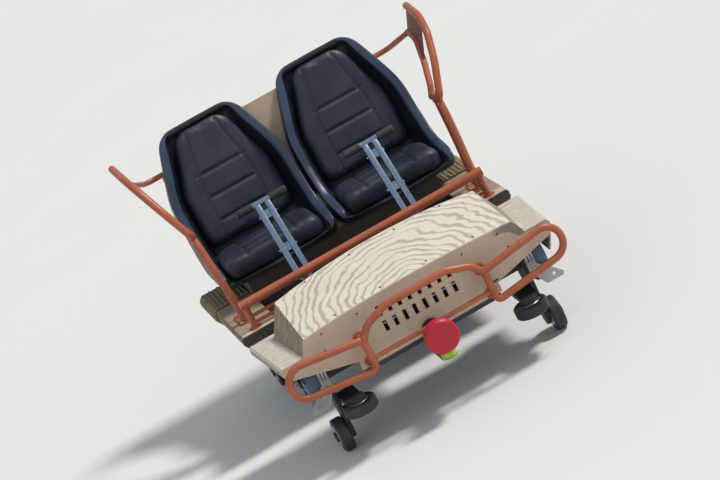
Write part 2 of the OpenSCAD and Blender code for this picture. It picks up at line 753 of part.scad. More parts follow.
module bumper() {
    up = [1, 0, 0];
    hoop = closed_path([
        [bumper_x, bumper_joint[0], bumper_low, 22], [bumper_x, bumper_out[0], bumper_out[1], 72],
        [bumper_x, bumper_out[0], bumper_out[2], 72], [bumper_x, bumper_joint[0], bumper_joint[1], 22]]);
    raised = open_path([
        [bumper_x, bumper_joint[0] + 2, bumper_joint[1] - 8, 0],
        [bumper_x, bumper_joint[0] - 45, bumper_joint[1] + 48, 60],
        [bumper_x, bumper_mid[0], bumper_mid[1], 90],
        [bumper_x, -bumper_mid[0], bumper_mid[1], 90],
        [bumper_x, -bumper_joint[0] + 45, bumper_joint[1] + 48, 60],
        [bumper_x, -bumper_joint[0] - 2, bumper_joint[1] - 8, 0]]);
    color(ORANGE) on_car() {
        both_sides() {
            tube(hoop, bumper_d, up, closed = true);
            for (z = [bumper_low + 24, bumper_joint[1] - 8])
                bar([fascia_x + fascia_t, bumper_joint[0], z], [bumper_x, bumper_joint[0], z],
                    bumper_d - 8, 24);
        }
        tube(raised, bumper_d, up);
        bar([bumper_x, -bumper_joint[0], bumper_low + 52],
            [bumper_x, bumper_joint[0], bumper_low + 52], 20, 24);
    }
}

module buffer_post() {
    z = bumper_low + 14;
    color(DARK_STEEL) on_car() {
        bar([fascia_x + fascia_t, 0, z], [buffer_x, 0, z], 56);
        bar([fascia_x + fascia_t, 0, z], [fascia_x + fascia_t + 10, 0, z], 90);
    }
}

module buffer_pad() {
    color(RED) on_car() translate([buffer_x, 0, bumper_low + 14]) rotate([0, 90, 0])
        rotate_extrude($fn = 72)
            polygon([[0, 0], [buffer_d / 2 - 8, 0], [buffer_d / 2, 8], [buffer_d / 2, buffer_t - 8],
                     [buffer_d / 2 - 8, buffer_t], [0, buffer_t]]);
}

// Wheels

module at_hub(end) on_car() translate([end[1], end[2] * gauge / 2, axle_z]) rotate([90, 0, 0]) children();

module tyre(end) {
    in_r = road_d / 2 - tyre_t;
    out_r = road_d / 2;
    half = road_w / 2;
    color(TYRE) at_hub(end) rotate_extrude($fn = 72)
        polygon([[in_r, -half], [out_r - 8, -half], [out_r, -half + 8],
                 [out_r, half - 8], [out_r - 8, half], [in_r, half]]);
}

module hub(end) {
    rim = road_d / 2 - tyre_t;
    half = road_w / 2;
    color(STEEL) at_hub(end) rotate_extrude($fn = 72)
        polygon([[stub_d / 2 + turn_gap, -half], [stub_d / 2 + 14, -half], [stub_d / 2 + 14, -half + 16],
                 [rim - 12, -half + 16], [rim - 12, -half], [rim, -half], [rim, half], [rim - 12, half],
                 [rim - 12, half - 16], [stub_d / 2 + 14, half - 16], [stub_d / 2 + 14, half],
                 [stub_d / 2 + turn_gap, half]]);
}

// A small wheel with its bore, its axis along Z
module small_wheel(d, w) rotate_extrude($fn = 64)
    polygon([[pin_d / 2 + turn_gap, -w / 2], [d / 2 - 6, -w / 2], [d / 2, -w / 2 + 6],
             [d / 2, w / 2 - 6], [d / 2 - 6, w / 2], [pin_d / 2 + turn_gap, w / 2]]);

module guide(end) {
    color(BLACK) on_car()
        translate([end[1] + end[3] * guide_ahead, end[2] * guide_y, guide_z]) small_wheel(guide_d, guide_w);
}

module upstop(end) {
    color(BLACK) on_car()
        translate([end[1], end[2] * upstop_y, upstop_d / 2]) rotate([90, 0, 0]) small_wheel(upstop_d, upstop_w);
}

chassis();
floor_pan();
side_boxes();
rope_blocks();
fence();
side_frame(1);  // side_frame_left
side_frame(-1);  // side_frame_right
seat_base();
seat_shell(1);  // seat_shell_left
seat_shell(-1);  // seat_shell_right
seat_pad(1);  // seat_pad_left
seat_pad(-1);  // seat_pad_right
back_pad(1);  // back_pad_left
back_pad(-1);  // back_pad_right
back_cover();
back_bars();
bar_brackets();
lap_bar(1);  // lap_bar_left
lap_bar(-1);  // lap_bar_right
rear_axle();
nose_frame();
nose_box();
fenders();
fascia();
bumper();
buffer_post();
buffer_pad();
front_axle();
for (end = AXLE_ENDS) {
    tyre(end);
    hub(end);
    guide(end);
    upstop(end);
}
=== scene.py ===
import math

import bmesh
import bpy
from mathutils import Matrix, Vector


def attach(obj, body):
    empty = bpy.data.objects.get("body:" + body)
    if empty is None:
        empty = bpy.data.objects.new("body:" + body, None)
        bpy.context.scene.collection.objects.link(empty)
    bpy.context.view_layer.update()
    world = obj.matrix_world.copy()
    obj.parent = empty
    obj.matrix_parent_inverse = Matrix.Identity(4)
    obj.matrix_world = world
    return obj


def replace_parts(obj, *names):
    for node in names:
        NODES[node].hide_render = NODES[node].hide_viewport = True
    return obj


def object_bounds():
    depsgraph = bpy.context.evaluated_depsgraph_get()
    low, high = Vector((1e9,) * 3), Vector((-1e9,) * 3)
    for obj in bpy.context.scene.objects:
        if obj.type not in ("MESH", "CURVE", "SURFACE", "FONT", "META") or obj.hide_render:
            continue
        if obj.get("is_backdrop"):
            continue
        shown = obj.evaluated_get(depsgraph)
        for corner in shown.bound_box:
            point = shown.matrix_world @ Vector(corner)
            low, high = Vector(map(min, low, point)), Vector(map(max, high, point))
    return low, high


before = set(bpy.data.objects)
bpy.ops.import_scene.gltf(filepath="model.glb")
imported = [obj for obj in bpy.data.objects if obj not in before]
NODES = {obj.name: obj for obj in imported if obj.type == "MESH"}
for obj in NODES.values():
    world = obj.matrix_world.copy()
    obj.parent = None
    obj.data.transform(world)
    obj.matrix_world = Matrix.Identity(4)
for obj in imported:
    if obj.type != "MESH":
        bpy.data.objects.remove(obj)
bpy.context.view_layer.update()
UP = Vector((0, 0, 1))

# Sizes in mm, measured as in mm() below
MID_X = 73.5
BOX_TOP = 500
FRONT_AXLE, REAR_AXLE = 523, -664
WHEEL_Y, WHEEL_Z = 540, 360
FASCIA_X, BUMPER_X = 677, 752


def mm(x, y, z):
    """A point measured in mm from the fence plane, in the frame's metres."""
    return Vector(((x + MID_X) / 1000, y / 1000, z / 1000))


# Materials: colours are linear, lengths in their patterns are metres

NOISE_ROUGHNESS = 0.55


class Net:
    """A material with a Principled shader, and short calls for its nodes."""

    def __init__(self, name, rough=0.5, metal=0.0, **sockets):
        self.mat = bpy.data.materials.new(name)
        self.mat.use_nodes = True
        self.tree = self.mat.node_tree
        self.shader = self.tree.nodes["Principled BSDF"]
        self.shader.inputs["Roughness"].default_value = rough
        self.shader.inputs["Metallic"].default_value = metal
        for key, value in sockets.items():
            self.shader.inputs[key.replace("_", " ")].default_value = value
        coord = self.tree.nodes.new("ShaderNodeTexCoord")
        self.at = coord.outputs["Object"]
        split = self.tree.nodes.new("ShaderNodeSeparateXYZ")
        self.tree.links.new(self.at, split.inputs[0])
        self.x, self.y, self.z = split.outputs
        geometry = self.tree.nodes.new("ShaderNodeNewGeometry")
        turned = self.tree.nodes.new("ShaderNodeVectorTransform")
        turned.vector_type = "NORMAL"
        turned.convert_from = "WORLD"
        turned.convert_to = "OBJECT"
        self.tree.links.new(geometry.outputs["Normal"], turned.inputs[0])
        facing = self.tree.nodes.new("ShaderNodeSeparateXYZ")
        self.tree.links.new(turned.outputs[0], facing.inputs[0])
        self.nx, self.ny, self.nz = facing.outputs

    def put(self, value, socket):
        if isinstance(value, bpy.types.NodeSocket):
            self.tree.links.new(value, socket)
        elif hasattr(value, "__len__") and len(value) == 3 and len(socket.default_value) == 4:
            socket.default_value = (*value, 1)
        else:
            socket.default_value = value

    def noise(self, scale, detail, stretch=None):
        node = self.tree.nodes.new("ShaderNodeTexNoise")
        node.inputs["Scale"].default_value = scale
        node.inputs["Detail"].default_value = detail
        node.inputs["Roughness"].default_value = NOISE_ROUGHNESS
        vector = self.at
        if stretch:
            mapping = self.tree.nodes.new("ShaderNodeMapping")
            mapping.inputs["Scale"].default_value = stretch
            self.tree.links.new(self.at, mapping.inputs[0])
            vector = mapping.outputs[0]
        self.tree.links.new(vector, node.inputs["Vector"])
        return node.outputs[0]

    def math(self, op, a, b=0.0):
        node = self.tree.nodes.new("ShaderNodeMath")
        node.operation = op
        for value, socket in zip((a, b), node.inputs):
            self.put(value, socket)
        return node.outputs[0]

    def plus(self, a, b):
        return self.math("ADD", a, b)

    def minus(self, a, b):
        return self.math("SUBTRACT", a, b)

    def times(self, a, b):
        return self.math("MULTIPLY", a, b)

    def size(self, value):
        return self.math("ABSOLUTE", value)

    def wave(self, value):
        """A sine that repeats each time value grows by 1."""
        return self.math("SINE", self.times(value, math.tau))

    def wobble(self, scale, spread, detail=2.0, stretch=None):
        """Noise round 0, over about spread in all."""
        return self.times(self.minus(self.noise(scale, detail, stretch), 0.5), spread)

    def band(self, value, low, high):
        """0 below low, 1 above high, smooth between."""
        node = self.tree.nodes.new("ShaderNodeMapRange")
        node.interpolation_type = "SMOOTHSTEP"
        self.put(value, node.inputs["Value"])
        node.inputs["From Min"].default_value = low
        node.inputs["From Max"].default_value = high
        return node.outputs[0]

    def mix(self, share, a, b):
        node = self.tree.nodes.new("ShaderNodeMix")
        node.data_type = "RGBA"
        self.put(share, node.inputs[0])
        self.put(a, node.inputs[6])
        self.put(b, node.inputs[7])
        return node.outputs[2]

    def colour(self, value):
        self.put(value, self.shader.inputs["Base Color"])
        return self

    def rough(self, low, high, share):
        node = self.tree.nodes.new("ShaderNodeMapRange")
        self.put(share, node.inputs["Value"])
        node.inputs["To Min"].default_value = low
        node.inputs["To Max"].default_value = high
        self.tree.links.new(node.outputs[0], self.shader.inputs["Roughness"])
        return self

    def bump(self, height, strength, distance):
        node = self.tree.nodes.new("ShaderNodeBump")
        node.inputs["Strength"].default_value = strength
        node.inputs["Distance"].default_value = distance
        self.put(height, node.inputs["Height"])
        self.tree.links.new(node.outputs[0], self.shader.inputs["Normal"])
        return self


def paint(name, light, deep, rough, chip=None, streak=(1, 1, 1)):
    """Satin paint: cloudy shade, dusty streaks, orange-peel bump and small chips."""
    net = Net(name, rough)
    clouds = net.noise(5, 4)
    fine = net.noise(55, 3, streak)
    tone = net.mix(net.band(clouds, 0.3, 0.72), deep, light)
    tone = net.mix(net.times(net.band(fine, 0.5, 0.8), 0.22), tone, [c * 0.62 for c in deep])
    if chip:
        spots = net.noise(120, 2)
        tone = net.mix(net.band(spots, 0.735, 0.76), tone, chip)
    net.colour(tone)
    net.rough(rough - 0.08, rough + 0.14, fine)
    return net.bump(net.noise(420, 2), 0.12, 0.0006)


PANEL = ((0.57, 0.435, 0.325), (0.49, 0.365, 0.265), 0.5, (0.28, 0.22, 0.16), (1, 1, 0.15))

ORANGE = paint("orange_paint", (0.44, 0.115, 0.047), (0.33, 0.078, 0.032), 0.4, (0.13, 0.055, 0.035)).mat
TAN = paint("tan_panel", *PANEL).mat
LEDGE = paint("ledge_paint", (0.66, 0.53, 0.40), (0.5, 0.39, 0.28), 0.55, (0.2, 0.15, 0.1)).mat
DARK = paint("dark_steel", (0.035, 0.034, 0.036), (0.018, 0.018, 0.02), 0.5, (0.09, 0.06, 0.045)).mat
GREY = paint("grey_steel", (0.40, 0.39, 0.36), (0.27, 0.26, 0.24), 0.5, (0.09, 0.07, 0.05)).mat
# The web plates take the frames' orange darkened to red-brown: painted shade
WEB_SHADED_RED = paint("frame_web", (0.26, 0.065, 0.035), (0.17, 0.045, 0.027), 0.5, (0.07, 0.035, 0.025)).mat
OLIVE = paint("olive_border", (0.085, 0.085, 0.055), (0.05, 0.05, 0.034), 0.55).mat
RED = paint("buffer_red", (0.52, 0.006, 0.030), (0.42, 0.004, 0.022), 0.38, (0.22, 0.008, 0.015)).mat
LIME = paint("lime_mark", (0.36, 0.60, 0.045), (0.27, 0.46, 0.035), 0.45, (0.1, 0.1, 0.05)).mat


def grain_paint():
    """Painted wood grain: arched lines on top, finer lines on fenders and sides."""
    net = Net("grain_paint", 0.48)
    # Nose top: arches round a point near the front edge
    warp = net.wobble(3.6, 4.2)
    ripple = net.wobble(17, 0.9)
    back = net.minus(0.80, net.x)
    reach = net.math("SQRT", net.plus(net.math("POWER", back, 2.0),
                                      net.times(net.math("POWER", net.y, 2.0), 1.7)))
    arch = net.plus(net.times(reach, 19.0), net.plus(warp, ripple))
    thick = net.wobble(7, 2.2, stretch=(1, 1.4, 1))
    top_line = net.band(net.plus(net.wave(arch), thick), 0.05, 1.0)
    cream = net.mix(net.noise(9, 3), (0.74, 0.69, 0.58), (0.63, 0.575, 0.46))
    top = net.mix(net.times(top_line, 0.75), cream, (0.335, 0.315, 0.255))
    # Fender tops: short fine lines across the car
    fender_arch = net.plus(net.times(net.x, 72.0), net.wobble(11, 6.0))
    fender_line = net.band(net.plus(net.wave(fender_arch), net.wobble(28, 2.6)), 0.2, 0.7)
    fender = net.mix(net.times(fender_line, 0.75), (0.63, 0.575, 0.49), (0.25, 0.25, 0.225))
    outer = net.band(net.size(net.y), 0.545, 0.552)
    above = net.mix(outer, top, fender)
    # Sides: olive-brown with lines running down on the nose, along the car on the fenders
    turned = net.band(net.size(net.nx), 0.5, 0.7)
    along = net.plus(net.x, net.times(turned, net.minus(net.y, net.x)))
    drop = net.plus(net.plus(net.times(along, 26.0), net.times(net.z, 9.0)), net.wobble(8, 4.0))
    side_line = net.band(net.plus(net.wave(drop), net.wobble(20, 1.6)), 0.0, 0.6)
    nose_side = net.mix(net.times(side_line, 0.75), (0.33, 0.235, 0.135), (0.11, 0.135, 0.115))
    run = net.plus(net.plus(net.times(net.z, 58.0), net.times(net.x, 14.0)), net.wobble(10, 4.0))
    low_line = net.band(net.wave(run), -0.2, 0.5)
    fender_side = net.mix(net.times(low_line, 0.8), (0.37, 0.33, 0.245), (0.12, 0.125, 0.10))
    side = net.mix(outer, nose_side, fender_side)
    net.colour(net.mix(net.band(net.nz, 0.55, 0.68), side, above))
    net.rough(0.42, 0.6, net.noise(30, 3))
    return net.bump(net.plus(net.times(top_line, 0.6), net.noise(300, 2)), 0.1, 0.0008).mat


def fascia_paint_and_shadow():
    """The tan of the panel, with a painted shadow in taupe round the corner at the left end of its raised
    middle.
    """
    net = paint("fascia_paint_and_shadow", *PANEL)
    tan = net.shader.inputs["Base Color"].links[0].from_socket
    # How far a point lies past the two lines that the corner of the painted shadow is rounded between
    slope = net.plus(net.times(net.minus(net.y, 0.531), 0.837), net.times(net.minus(net.z, 0.5), 0.547))
    over = net.math("MAXIMUM", net.plus(slope, 0.060), 0.0)
    rise = net.math("MAXIMUM", net.minus(net.z, 0.514), 0.0)
    reach = net.math("SQRT", net.plus(net.math("POWER", over, 2.0), net.math("POWER", rise, 2.0)))
    # The taupe corner is painted shadow, on the left end only
    corner = net.times(net.band(reach, 0.031, 0.033), net.band(net.y, 0.385, 0.44))
    corner = net.times(corner, net.band(net.z, 0.494, 0.500))
    return net.colour(net.mix(corner, tan, (0.235, 0.205, 0.15))).mat


def brown_panel():
    """Brown boxes, with painted light that makes them paler on top and painted shade that darkens their
    front and rear faces.
    """
    net = Net("brown_panel", 0.6)
    tone = net.mix(net.band(net.noise(4, 4), 0.3, 0.7), (0.135, 0.092, 0.062), (0.19, 0.138, 0.098))
    streaks = net.times(net.band(net.noise(40, 3, (1, 1, 0.12)), 0.5, 0.8), 0.35)
    tone = net.mix(streaks, tone, (0.07, 0.05, 0.036))
    # Painted light: upward faces turn paler
    tone = net.mix(net.band(net.nz, 0.6, 0.9), tone, (0.30, 0.235, 0.17))
    # Painted shade: faces towards the front and rear turn darker
    tone = net.mix(net.band(net.size(net.nx), 0.6, 0.9), tone, (0.062, 0.05, 0.038))
    net.colour(tone)
    net.rough(0.52, 0.72, net.noise(30, 3))
    return net.bump(net.noise(260, 2), 0.15, 0.0006).mat


def rope():
    """Twisted fibre: strands from a fine skewed wave, darker between them, and darker and greyer on top.
    """
    net = Net("rope_wrap", 0.85)
    strand = net.wave(net.plus(net.times(net.x, 140.0), net.times(net.plus(net.y, net.z), 75.0)))
    fibre = net.noise(420, 3)
    tone = net.mix(net.band(strand, -0.8, 0.5), (0.17, 0.125, 0.06), (0.47, 0.36, 0.205))
    tone = net.mix(net.times(fibre, 0.55), tone, (0.30, 0.235, 0.13))
    tone = net.mix(net.times(net.band(net.nz, 0.3, 0.9), 0.6), tone, (0.20, 0.175, 0.105))
    net.colour(tone)
    return net.bump(net.plus(net.times(strand, 0.7), fibre), 0.7, 0.0025).mat


def tread():
    """Dark floor sheet with raised bars in a chequered tread."""
    net = Net("floor_tread", 0.55, 0.4)
    a = net.math("SINE", net.times(net.plus(net.x, net.y), 260.0))
    b = net.math("SINE", net.times(net.minus(net.x, net.y), 260.0))
    bar = net.band(net.times(a, b), 0.35, 0.6)
    net.colour(net.mix(bar, (0.028, 0.028, 0.03), (0.085, 0.083, 0.08)))
    return net.bump(bar, 0.6, 0.0015).mat


def rope_bed():
    """The dark block under the rope."""
    net = Net("rope_bed", 0.8)
    net.colour(net.mix(net.noise(20, 3), (0.055, 0.045, 0.026), (0.10, 0.085, 0.052)))
    return net.bump(net.noise(200, 2), 0.3, 0.001).mat


def brushed(name, light, deep, rough, stretch):
    """Bare metal with fine lines, drawn out where stretch is small."""
    net = Net(name, rough, 1.0)
    lines = net.noise(300, 3, stretch)
    net.colour(net.mix(net.band(lines, 0.3, 0.75), deep, light))
    net.rough(rough - 0.1, rough + 0.16, lines)
    return net.bump(lines, 0.18, 0.0005).mat


def moulded(name, light, deep, rough, scale, depth):
    """Plastic or rubber with a fine grain of that scale and depth."""
    net = Net(name, rough)
    net.colour(net.mix(net.band(net.noise(7, 3), 0.3, 0.7), deep, light))
    net.rough(rough - 0.07, rough + 0.13, net.noise(45, 3))
    return net.bump(net.noise(scale, 3), 0.3, depth).mat


def leather(name, light, deep):
    """Seat cover: pebbled grain from cells, soft sheen, worn lighter patches."""
    net = Net(name, 0.46, Coat_Weight=0.08, Coat_Roughness=0.35)
    cells = net.tree.nodes.new("ShaderNodeTexVoronoi")
    cells.inputs["Scale"].default_value = 330
    net.tree.links.new(net.at, cells.inputs["Vector"])
    grain = net.band(cells.outputs["Distance"], 0.05, 0.55)
    tone = net.mix(net.band(net.noise(6, 4), 0.35, 0.75), deep, light)
    tone = net.mix(net.times(grain, 0.25), tone, [c * 0.5 for c in deep])
    net.colour(tone)
    net.rough(0.4, 0.58, net.noise(30, 3))
    return net.bump(grain, 0.35, 0.0009).mat


GRAIN = grain_paint()
FASCIA = fascia_paint_and_shadow()
BROWN = brown_panel()
ROPE = rope()
ROPE_BED = rope_bed()
TREAD = tread()
STEEL = brushed("bar_steel", (0.74, 0.75, 0.77), (0.52, 0.53, 0.55), 0.3, (1, 1, 0.06))
RAIL = brushed("rail_steel", (0.29, 0.37, 0.49), (0.15, 0.205, 0.29), 0.34, (1, 1, 0.06))
HUB = brushed("hub_metal", (0.62, 0.63, 0.66), (0.40, 0.41, 0.44), 0.38, (0.1, 1, 0.1))
BOLT = brushed("bolt_steel", (0.55, 0.55, 0.56), (0.33, 0.33, 0.34), 0.34, (1, 1, 1))
SCREW = moulded("dark_screw", (0.06, 0.055, 0.05), (0.03, 0.028, 0.025), 0.45, 200, 0.0004)
SHELL = moulded("seat_shell", (0.014, 0.017, 0.026), (0.008, 0.009, 0.014), 0.42, 900, 0.0005)
LIP = moulded("seat_lip", (0.034, 0.052, 0.105), (0.02, 0.032, 0.07), 0.34, 900, 0.0005)
COVER = leather("seat_cover", (0.030, 0.040, 0.066), (0.014, 0.018, 0.032))
TYRE = moulded("road_tyre", (0.115, 0.165, 0.26), (0.07, 0.105, 0.175), 0.55, 260, 0.0012)
SMALL = moulded("small_wheel", (0.032, 0.034, 0.038), (0.016, 0.017, 0.02), 0.5, 260, 0.001)
GRIP = moulded("grip_rubber", (0.03, 0.031, 0.034), (0.014, 0.014, 0.016), 0.6, 700, 0.0008)


# Looks of the CAD nodes that stay. Edges are softened by modifiers only.

def soften(obj, width, sharp):
    """Rounds the edges over that angle in degrees. width is in mm."""
    bevel = obj.modifiers.new("edge", "BEVEL")
    bevel.width = width / 1000
    bevel.segments = 2
    bevel.limit_method = "ANGLE"
    bevel.angle_limit = math.radians(sharp)
    bevel.harden_normals = True


def dress(name, mat, edge=1.2):
    obj = NODES[name]
    obj.data.materials.clear()
    obj.data.materials.append(mat)
    custom = obj.data.attributes.get("custom_normal")
    if custom:
        obj.data.attributes.remove(custom)
    obj.data.shade_smooth()
    weld = obj.modifiers.new("weld", "WELD")
    weld.merge_threshold = 0.00002
    soften(obj, edge, 42)


for node_name, mat in {
    "chassis": DARK, "floor_pan": TREAD, "side_boxes": BROWN, "rope_blocks": ROPE_BED,
    "fence": ORANGE, "seat_base": BROWN, "back_cover": TAN, "bar_brackets": STEEL,
    "rear_axle": DARK, "nose_frame": DARK, "nose_box": GRAIN, "fenders": GRAIN,
    "fascia": FASCIA, "buffer_post": DARK, "buffer_pad": RED, "front_axle": DARK,
}.items():
    dress(node_name, mat)
# For each wheel: its axle, its side, and the way its guide wheel lies from the axle
ENDS = {"front_left": (FRONT_AXLE, 1, 1), "front_right": (FRONT_AXLE, -1, 1),
        "rear_left": (REAR_AXLE, 1, -1), "rear_right": (REAR_AXLE, -1, -1)}
for end in ENDS:
    dress("tyre_" + end, TYRE, 2.5)
    dress("hub_" + end, HUB, 0.8)
    dress("guide_" + end, SMALL, 1.5)
    dress("upstop_" + end, SMALL, 1.5)


# Mesh helpers

def add_object(name, data):
    obj = bpy.data.objects.new(name, data)
    bpy.context.scene.collection.objects.link(obj)
    return obj


def evaluated(obj):
    return obj.evaluated_get(bpy.context.evaluated_depsgraph_get())


def axes(axis):
    """A unit vector along axis and two across it."""
    axis = Vector(axis).normalized()
    side = axis.orthogonal().normalized()
    return axis, side, axis.cross(side)


def spokes(side, up, count):
    """Unit vectors at even angles, from side towards up."""
    return [math.cos(math.tau * k / count) * side + math.sin(math.tau * k / count) * up
            for k in range(count)]


def corner(p0, p1, p2, r, n):
    """Points of an arc that rounds the corner p1."""
    a, b = (p0 - p1).normalized(), (p2 - p1).normalized()
    half = math.acos(max(-1.0, min(1.0, a.dot(b)))) / 2
    c = p1 + (a + b).normalized() * r / math.sin(half)
    first = p1 + a * r / math.tan(half) - c
    last = p1 + b * r / math.tan(half) - c
    turn = math.pi - 2 * half
    return [c + (math.sin((1 - i / n) * turn) * first + math.sin(i / n * turn) * last) / math.sin(turn)
            for i in range(n + 1)]


def rounded(points, radii, closed=False, n=6):
    """A path with rounded corners. The ends of an open path stay sharp."""
    m = len(points)
    if closed:
        return [q for i in range(m)
                for q in corner(points[i - 1], points[i], points[(i + 1) % m], radii[i], n)]
    inner = [q for i in range(1, m - 1)
             for q in corner(points[i - 1], points[i], points[i + 1], radii[i], n)]
    return [points[0], *inner, points[-1]]


class Piece:
    """Collects mesh parts, and makes one object of them that rides on a body."""

    def __init__(self, name):
        self.name = name
        self.bm = bmesh.new()

    def loft(self, rings, closed=False):
        """Joins rings of points. The ends are capped unless the last ring meets the first."""
        rows = [[self.bm.verts.new(p) for p in ring] for ring in rings]
        n = len(rows[0])
        for i in range(len(rows) if closed else len(rows) - 1):
            a, b = rows[i], rows[(i + 1) % len(rows)]
            for k in range(n):
                self.bm.faces.new((a[k], a[(k + 1) % n], b[(k + 1) % n], b[k]))
        if not closed:
            self.bm.faces.new(rows[0][::-1])
            self.bm.faces.new(rows[-1])

    def tube(self, path, radius, sides, closed=False):
        """radius in metres: a number, or one for each point."""
        m = len(path)
        side = None
        rings = []
        for i, p in enumerate(path):
            before = path[i - 1] if i or closed else p
            after = path[(i + 1) % m] if i < m - 1 or closed else p
            along = (after - before).normalized()
            side = along.orthogonal() if side is None else side - along * side.dot(along)
            side.normalize()
            up = along.cross(side)
            r = radius[i] if hasattr(radius, "__len__") else radius
            rings.append([p + r * out for out in spokes(side, up, sides)])
        self.loft(rings, closed)

    def lathe(self, origin, axis, profile, sides):
        """profile is a closed outline of (along, radius) pairs in mm, all radii above 0."""
        axis, side, up = axes(axis)
        self.loft([[origin + axis * h / 1000 + out * r / 1000 for h, r in profile]
                   for out in spokes(side, up, sides)], closed=True)

    def slab(self, outline, depth):
        """Extrudes a flat outline of points by the vector depth."""
        self.loft([outline, [p + depth for p in outline]])

    def stack(self, at, axis, size, sides, steps):
        """Rings above each other. steps are (height, radius), as shares of the size in mm."""
        axis, side, up = axes(axis)
        self.loft([[at + axis * h * size / 1000 + out * r * size / 1000 for out in spokes(side, up, sides)]
                   for h, r in steps])

    def bolt(self, at, axis, size, head=0.5):
        """A hexagon head, size across its corners in mm, head its height as a share of that."""
        self.stack(at, axis, size, 6, ((-0.15, 0.5), (head * 0.75, 0.5), (head, 0.4)))

    def dome(self, at, axis, size):
        """A round screw head, size across in mm."""
        self.stack(at, axis, size, 12, ((-0.2, 0.5), (0.05, 0.5), (0.2, 0.38), (0.28, 0.18)))

    def bead(self, at, axis, radius, width=2.6):
        """A weld bead round a tube of that radius, in mm."""
        axis, side, up = axes(axis)
        rings = []
        for k, out in enumerate(spokes(side, up, 36)):
            r = width * (1 + 0.16 * math.sin(k * 2.1) + 0.1 * math.sin(k * 4.7))
            rings.append([at + out * (radius + r * math.cos(b)) / 1000 + axis * r * math.sin(b) / 1000
                          for b in (i * math.tau / 6 for i in range(6))])
        self.loft(rings, closed=True)

    def block(self, low, high):
        self.slab([Vector((low.x, low.y, low.z)), Vector((high.x, low.y, low.z)),
                   Vector((high.x, high.y, low.z)), Vector((low.x, high.y, low.z))],
                  Vector((0, 0, high.z - low.z)))

    def done(self, mat, body, sharp=40, bevel=0.0, mirror=False):
        """mirror adds a copy on the other side, bevel is in mm, sharp in degrees."""
        if mirror:
            whole = self.bm.verts[:] + self.bm.edges[:] + self.bm.faces[:]
            copy = bmesh.ops.duplicate(self.bm, geom=whole)["geom"]
            for v in copy:
                if isinstance(v, bmesh.types.BMVert):
                    v.co.y = -v.co.y
            bmesh.ops.reverse_faces(self.bm, faces=[g for g in copy if isinstance(g, bmesh.types.BMFace)])
        bmesh.ops.recalc_face_normals(self.bm, faces=self.bm.faces)
        data = bpy.data.meshes.new(self.name)
        self.bm.to_mesh(data)
        self.bm.free()
        data.materials.append(mat)
        data.shade_smooth()
        data.set_sharp_from_angle(angle=math.radians(sharp))
        obj = add_object(self.name, data)
        if bevel:
            soften(obj, bevel, sharp)
        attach(obj, body)
        return obj


def plate(name, outline, holes, thickness, place):
    """The mesh of a flat plate with rounded edges and holes, filled as a 2-D curve.

    Points are (u, v) and holes (u, v, radius) in mm, and place maps (u, v, depth) to a point.
    """
    edge = 0.0008
    curve = bpy.data.curves.new(name, "CURVE")
    curve.dimensions = "2D"
    curve.fill_mode = "BOTH"
    curve.extrude = thickness / 2000 - edge
    curve.bevel_depth = edge
    curve.bevel_resolution = 1
    loops = [outline] + [[(u + r * math.cos(math.tau * k / 24), v + r * math.sin(math.tau * k / 24))
                          for k in range(24)] for u, v, r in holes]
    for loop in loops:
        spline = curve.splines.new("POLY")
        spline.points.add(len(loop) - 1)
        for point, (u, v) in zip(spline.points, loop):
            point.co = (u / 1000, v / 1000, 0, 1)
        spline.use_cyclic_u = True
    flat = add_object(name, curve)
    data = bpy.data.meshes.new_from_object(evaluated(flat))
    bpy.data.objects.remove(flat)
    for v in data.vertices:
        v.co = place(v.co.x * 1000, v.co.y * 1000, v.co.z * 1000)
    return data


def show(name, data, mat, body, flip):
    """One object of a plate's mesh that rides on a body. A mirrored mesh is flipped."""
    if flip:
        data.flip_normals()
    data.materials.clear()
    data.materials.append(mat)
    obj = add_object(name, data)
    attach(obj, body)


# Seats: a bucket shell, a sewn cushion and a backrest pad for each rider

SEAT_Y, SHELL_Z, BACK_X, LEAN = 303, 610, -770, math.radians(14)
SHELL_HALF = 295
BACKWARD = (-math.cos(LEAN), 0, -math.sin(LEAN))


def back_at(s, d):
    """(x, z) of a point s up along the leaning back and d ahead of it."""
    return (BACK_X - s * math.sin(LEAN) + d * math.cos(LEAN),
            SHELL_Z + s * math.cos(LEAN) + d * math.sin(LEAN))


def flat_path(points, radii, closed=False, n=10):
    """rounded() for points of two numbers."""
    return [(q.x, q.y) for q in rounded([Vector((x, y, 0)) for x, y in points], radii, closed, n)]


SEAT_EDGE = flat_path([(SHELL_HALF, -300), (SHELL_HALF, 330), (190, 640), (-190, 640)],
                      [0, 260, 110, 0], n=14)


def half_width(s):
    """Half width of the bucket at s along its back."""
    for (w0, s0), (w1, s1) in zip(SEAT_EDGE, SEAT_EDGE[1:]):
        if s0 <= s <= s1 and s1 > s0:
            return w0 + (w1 - w0) * (s - s0) / (s1 - s0)
    return 100


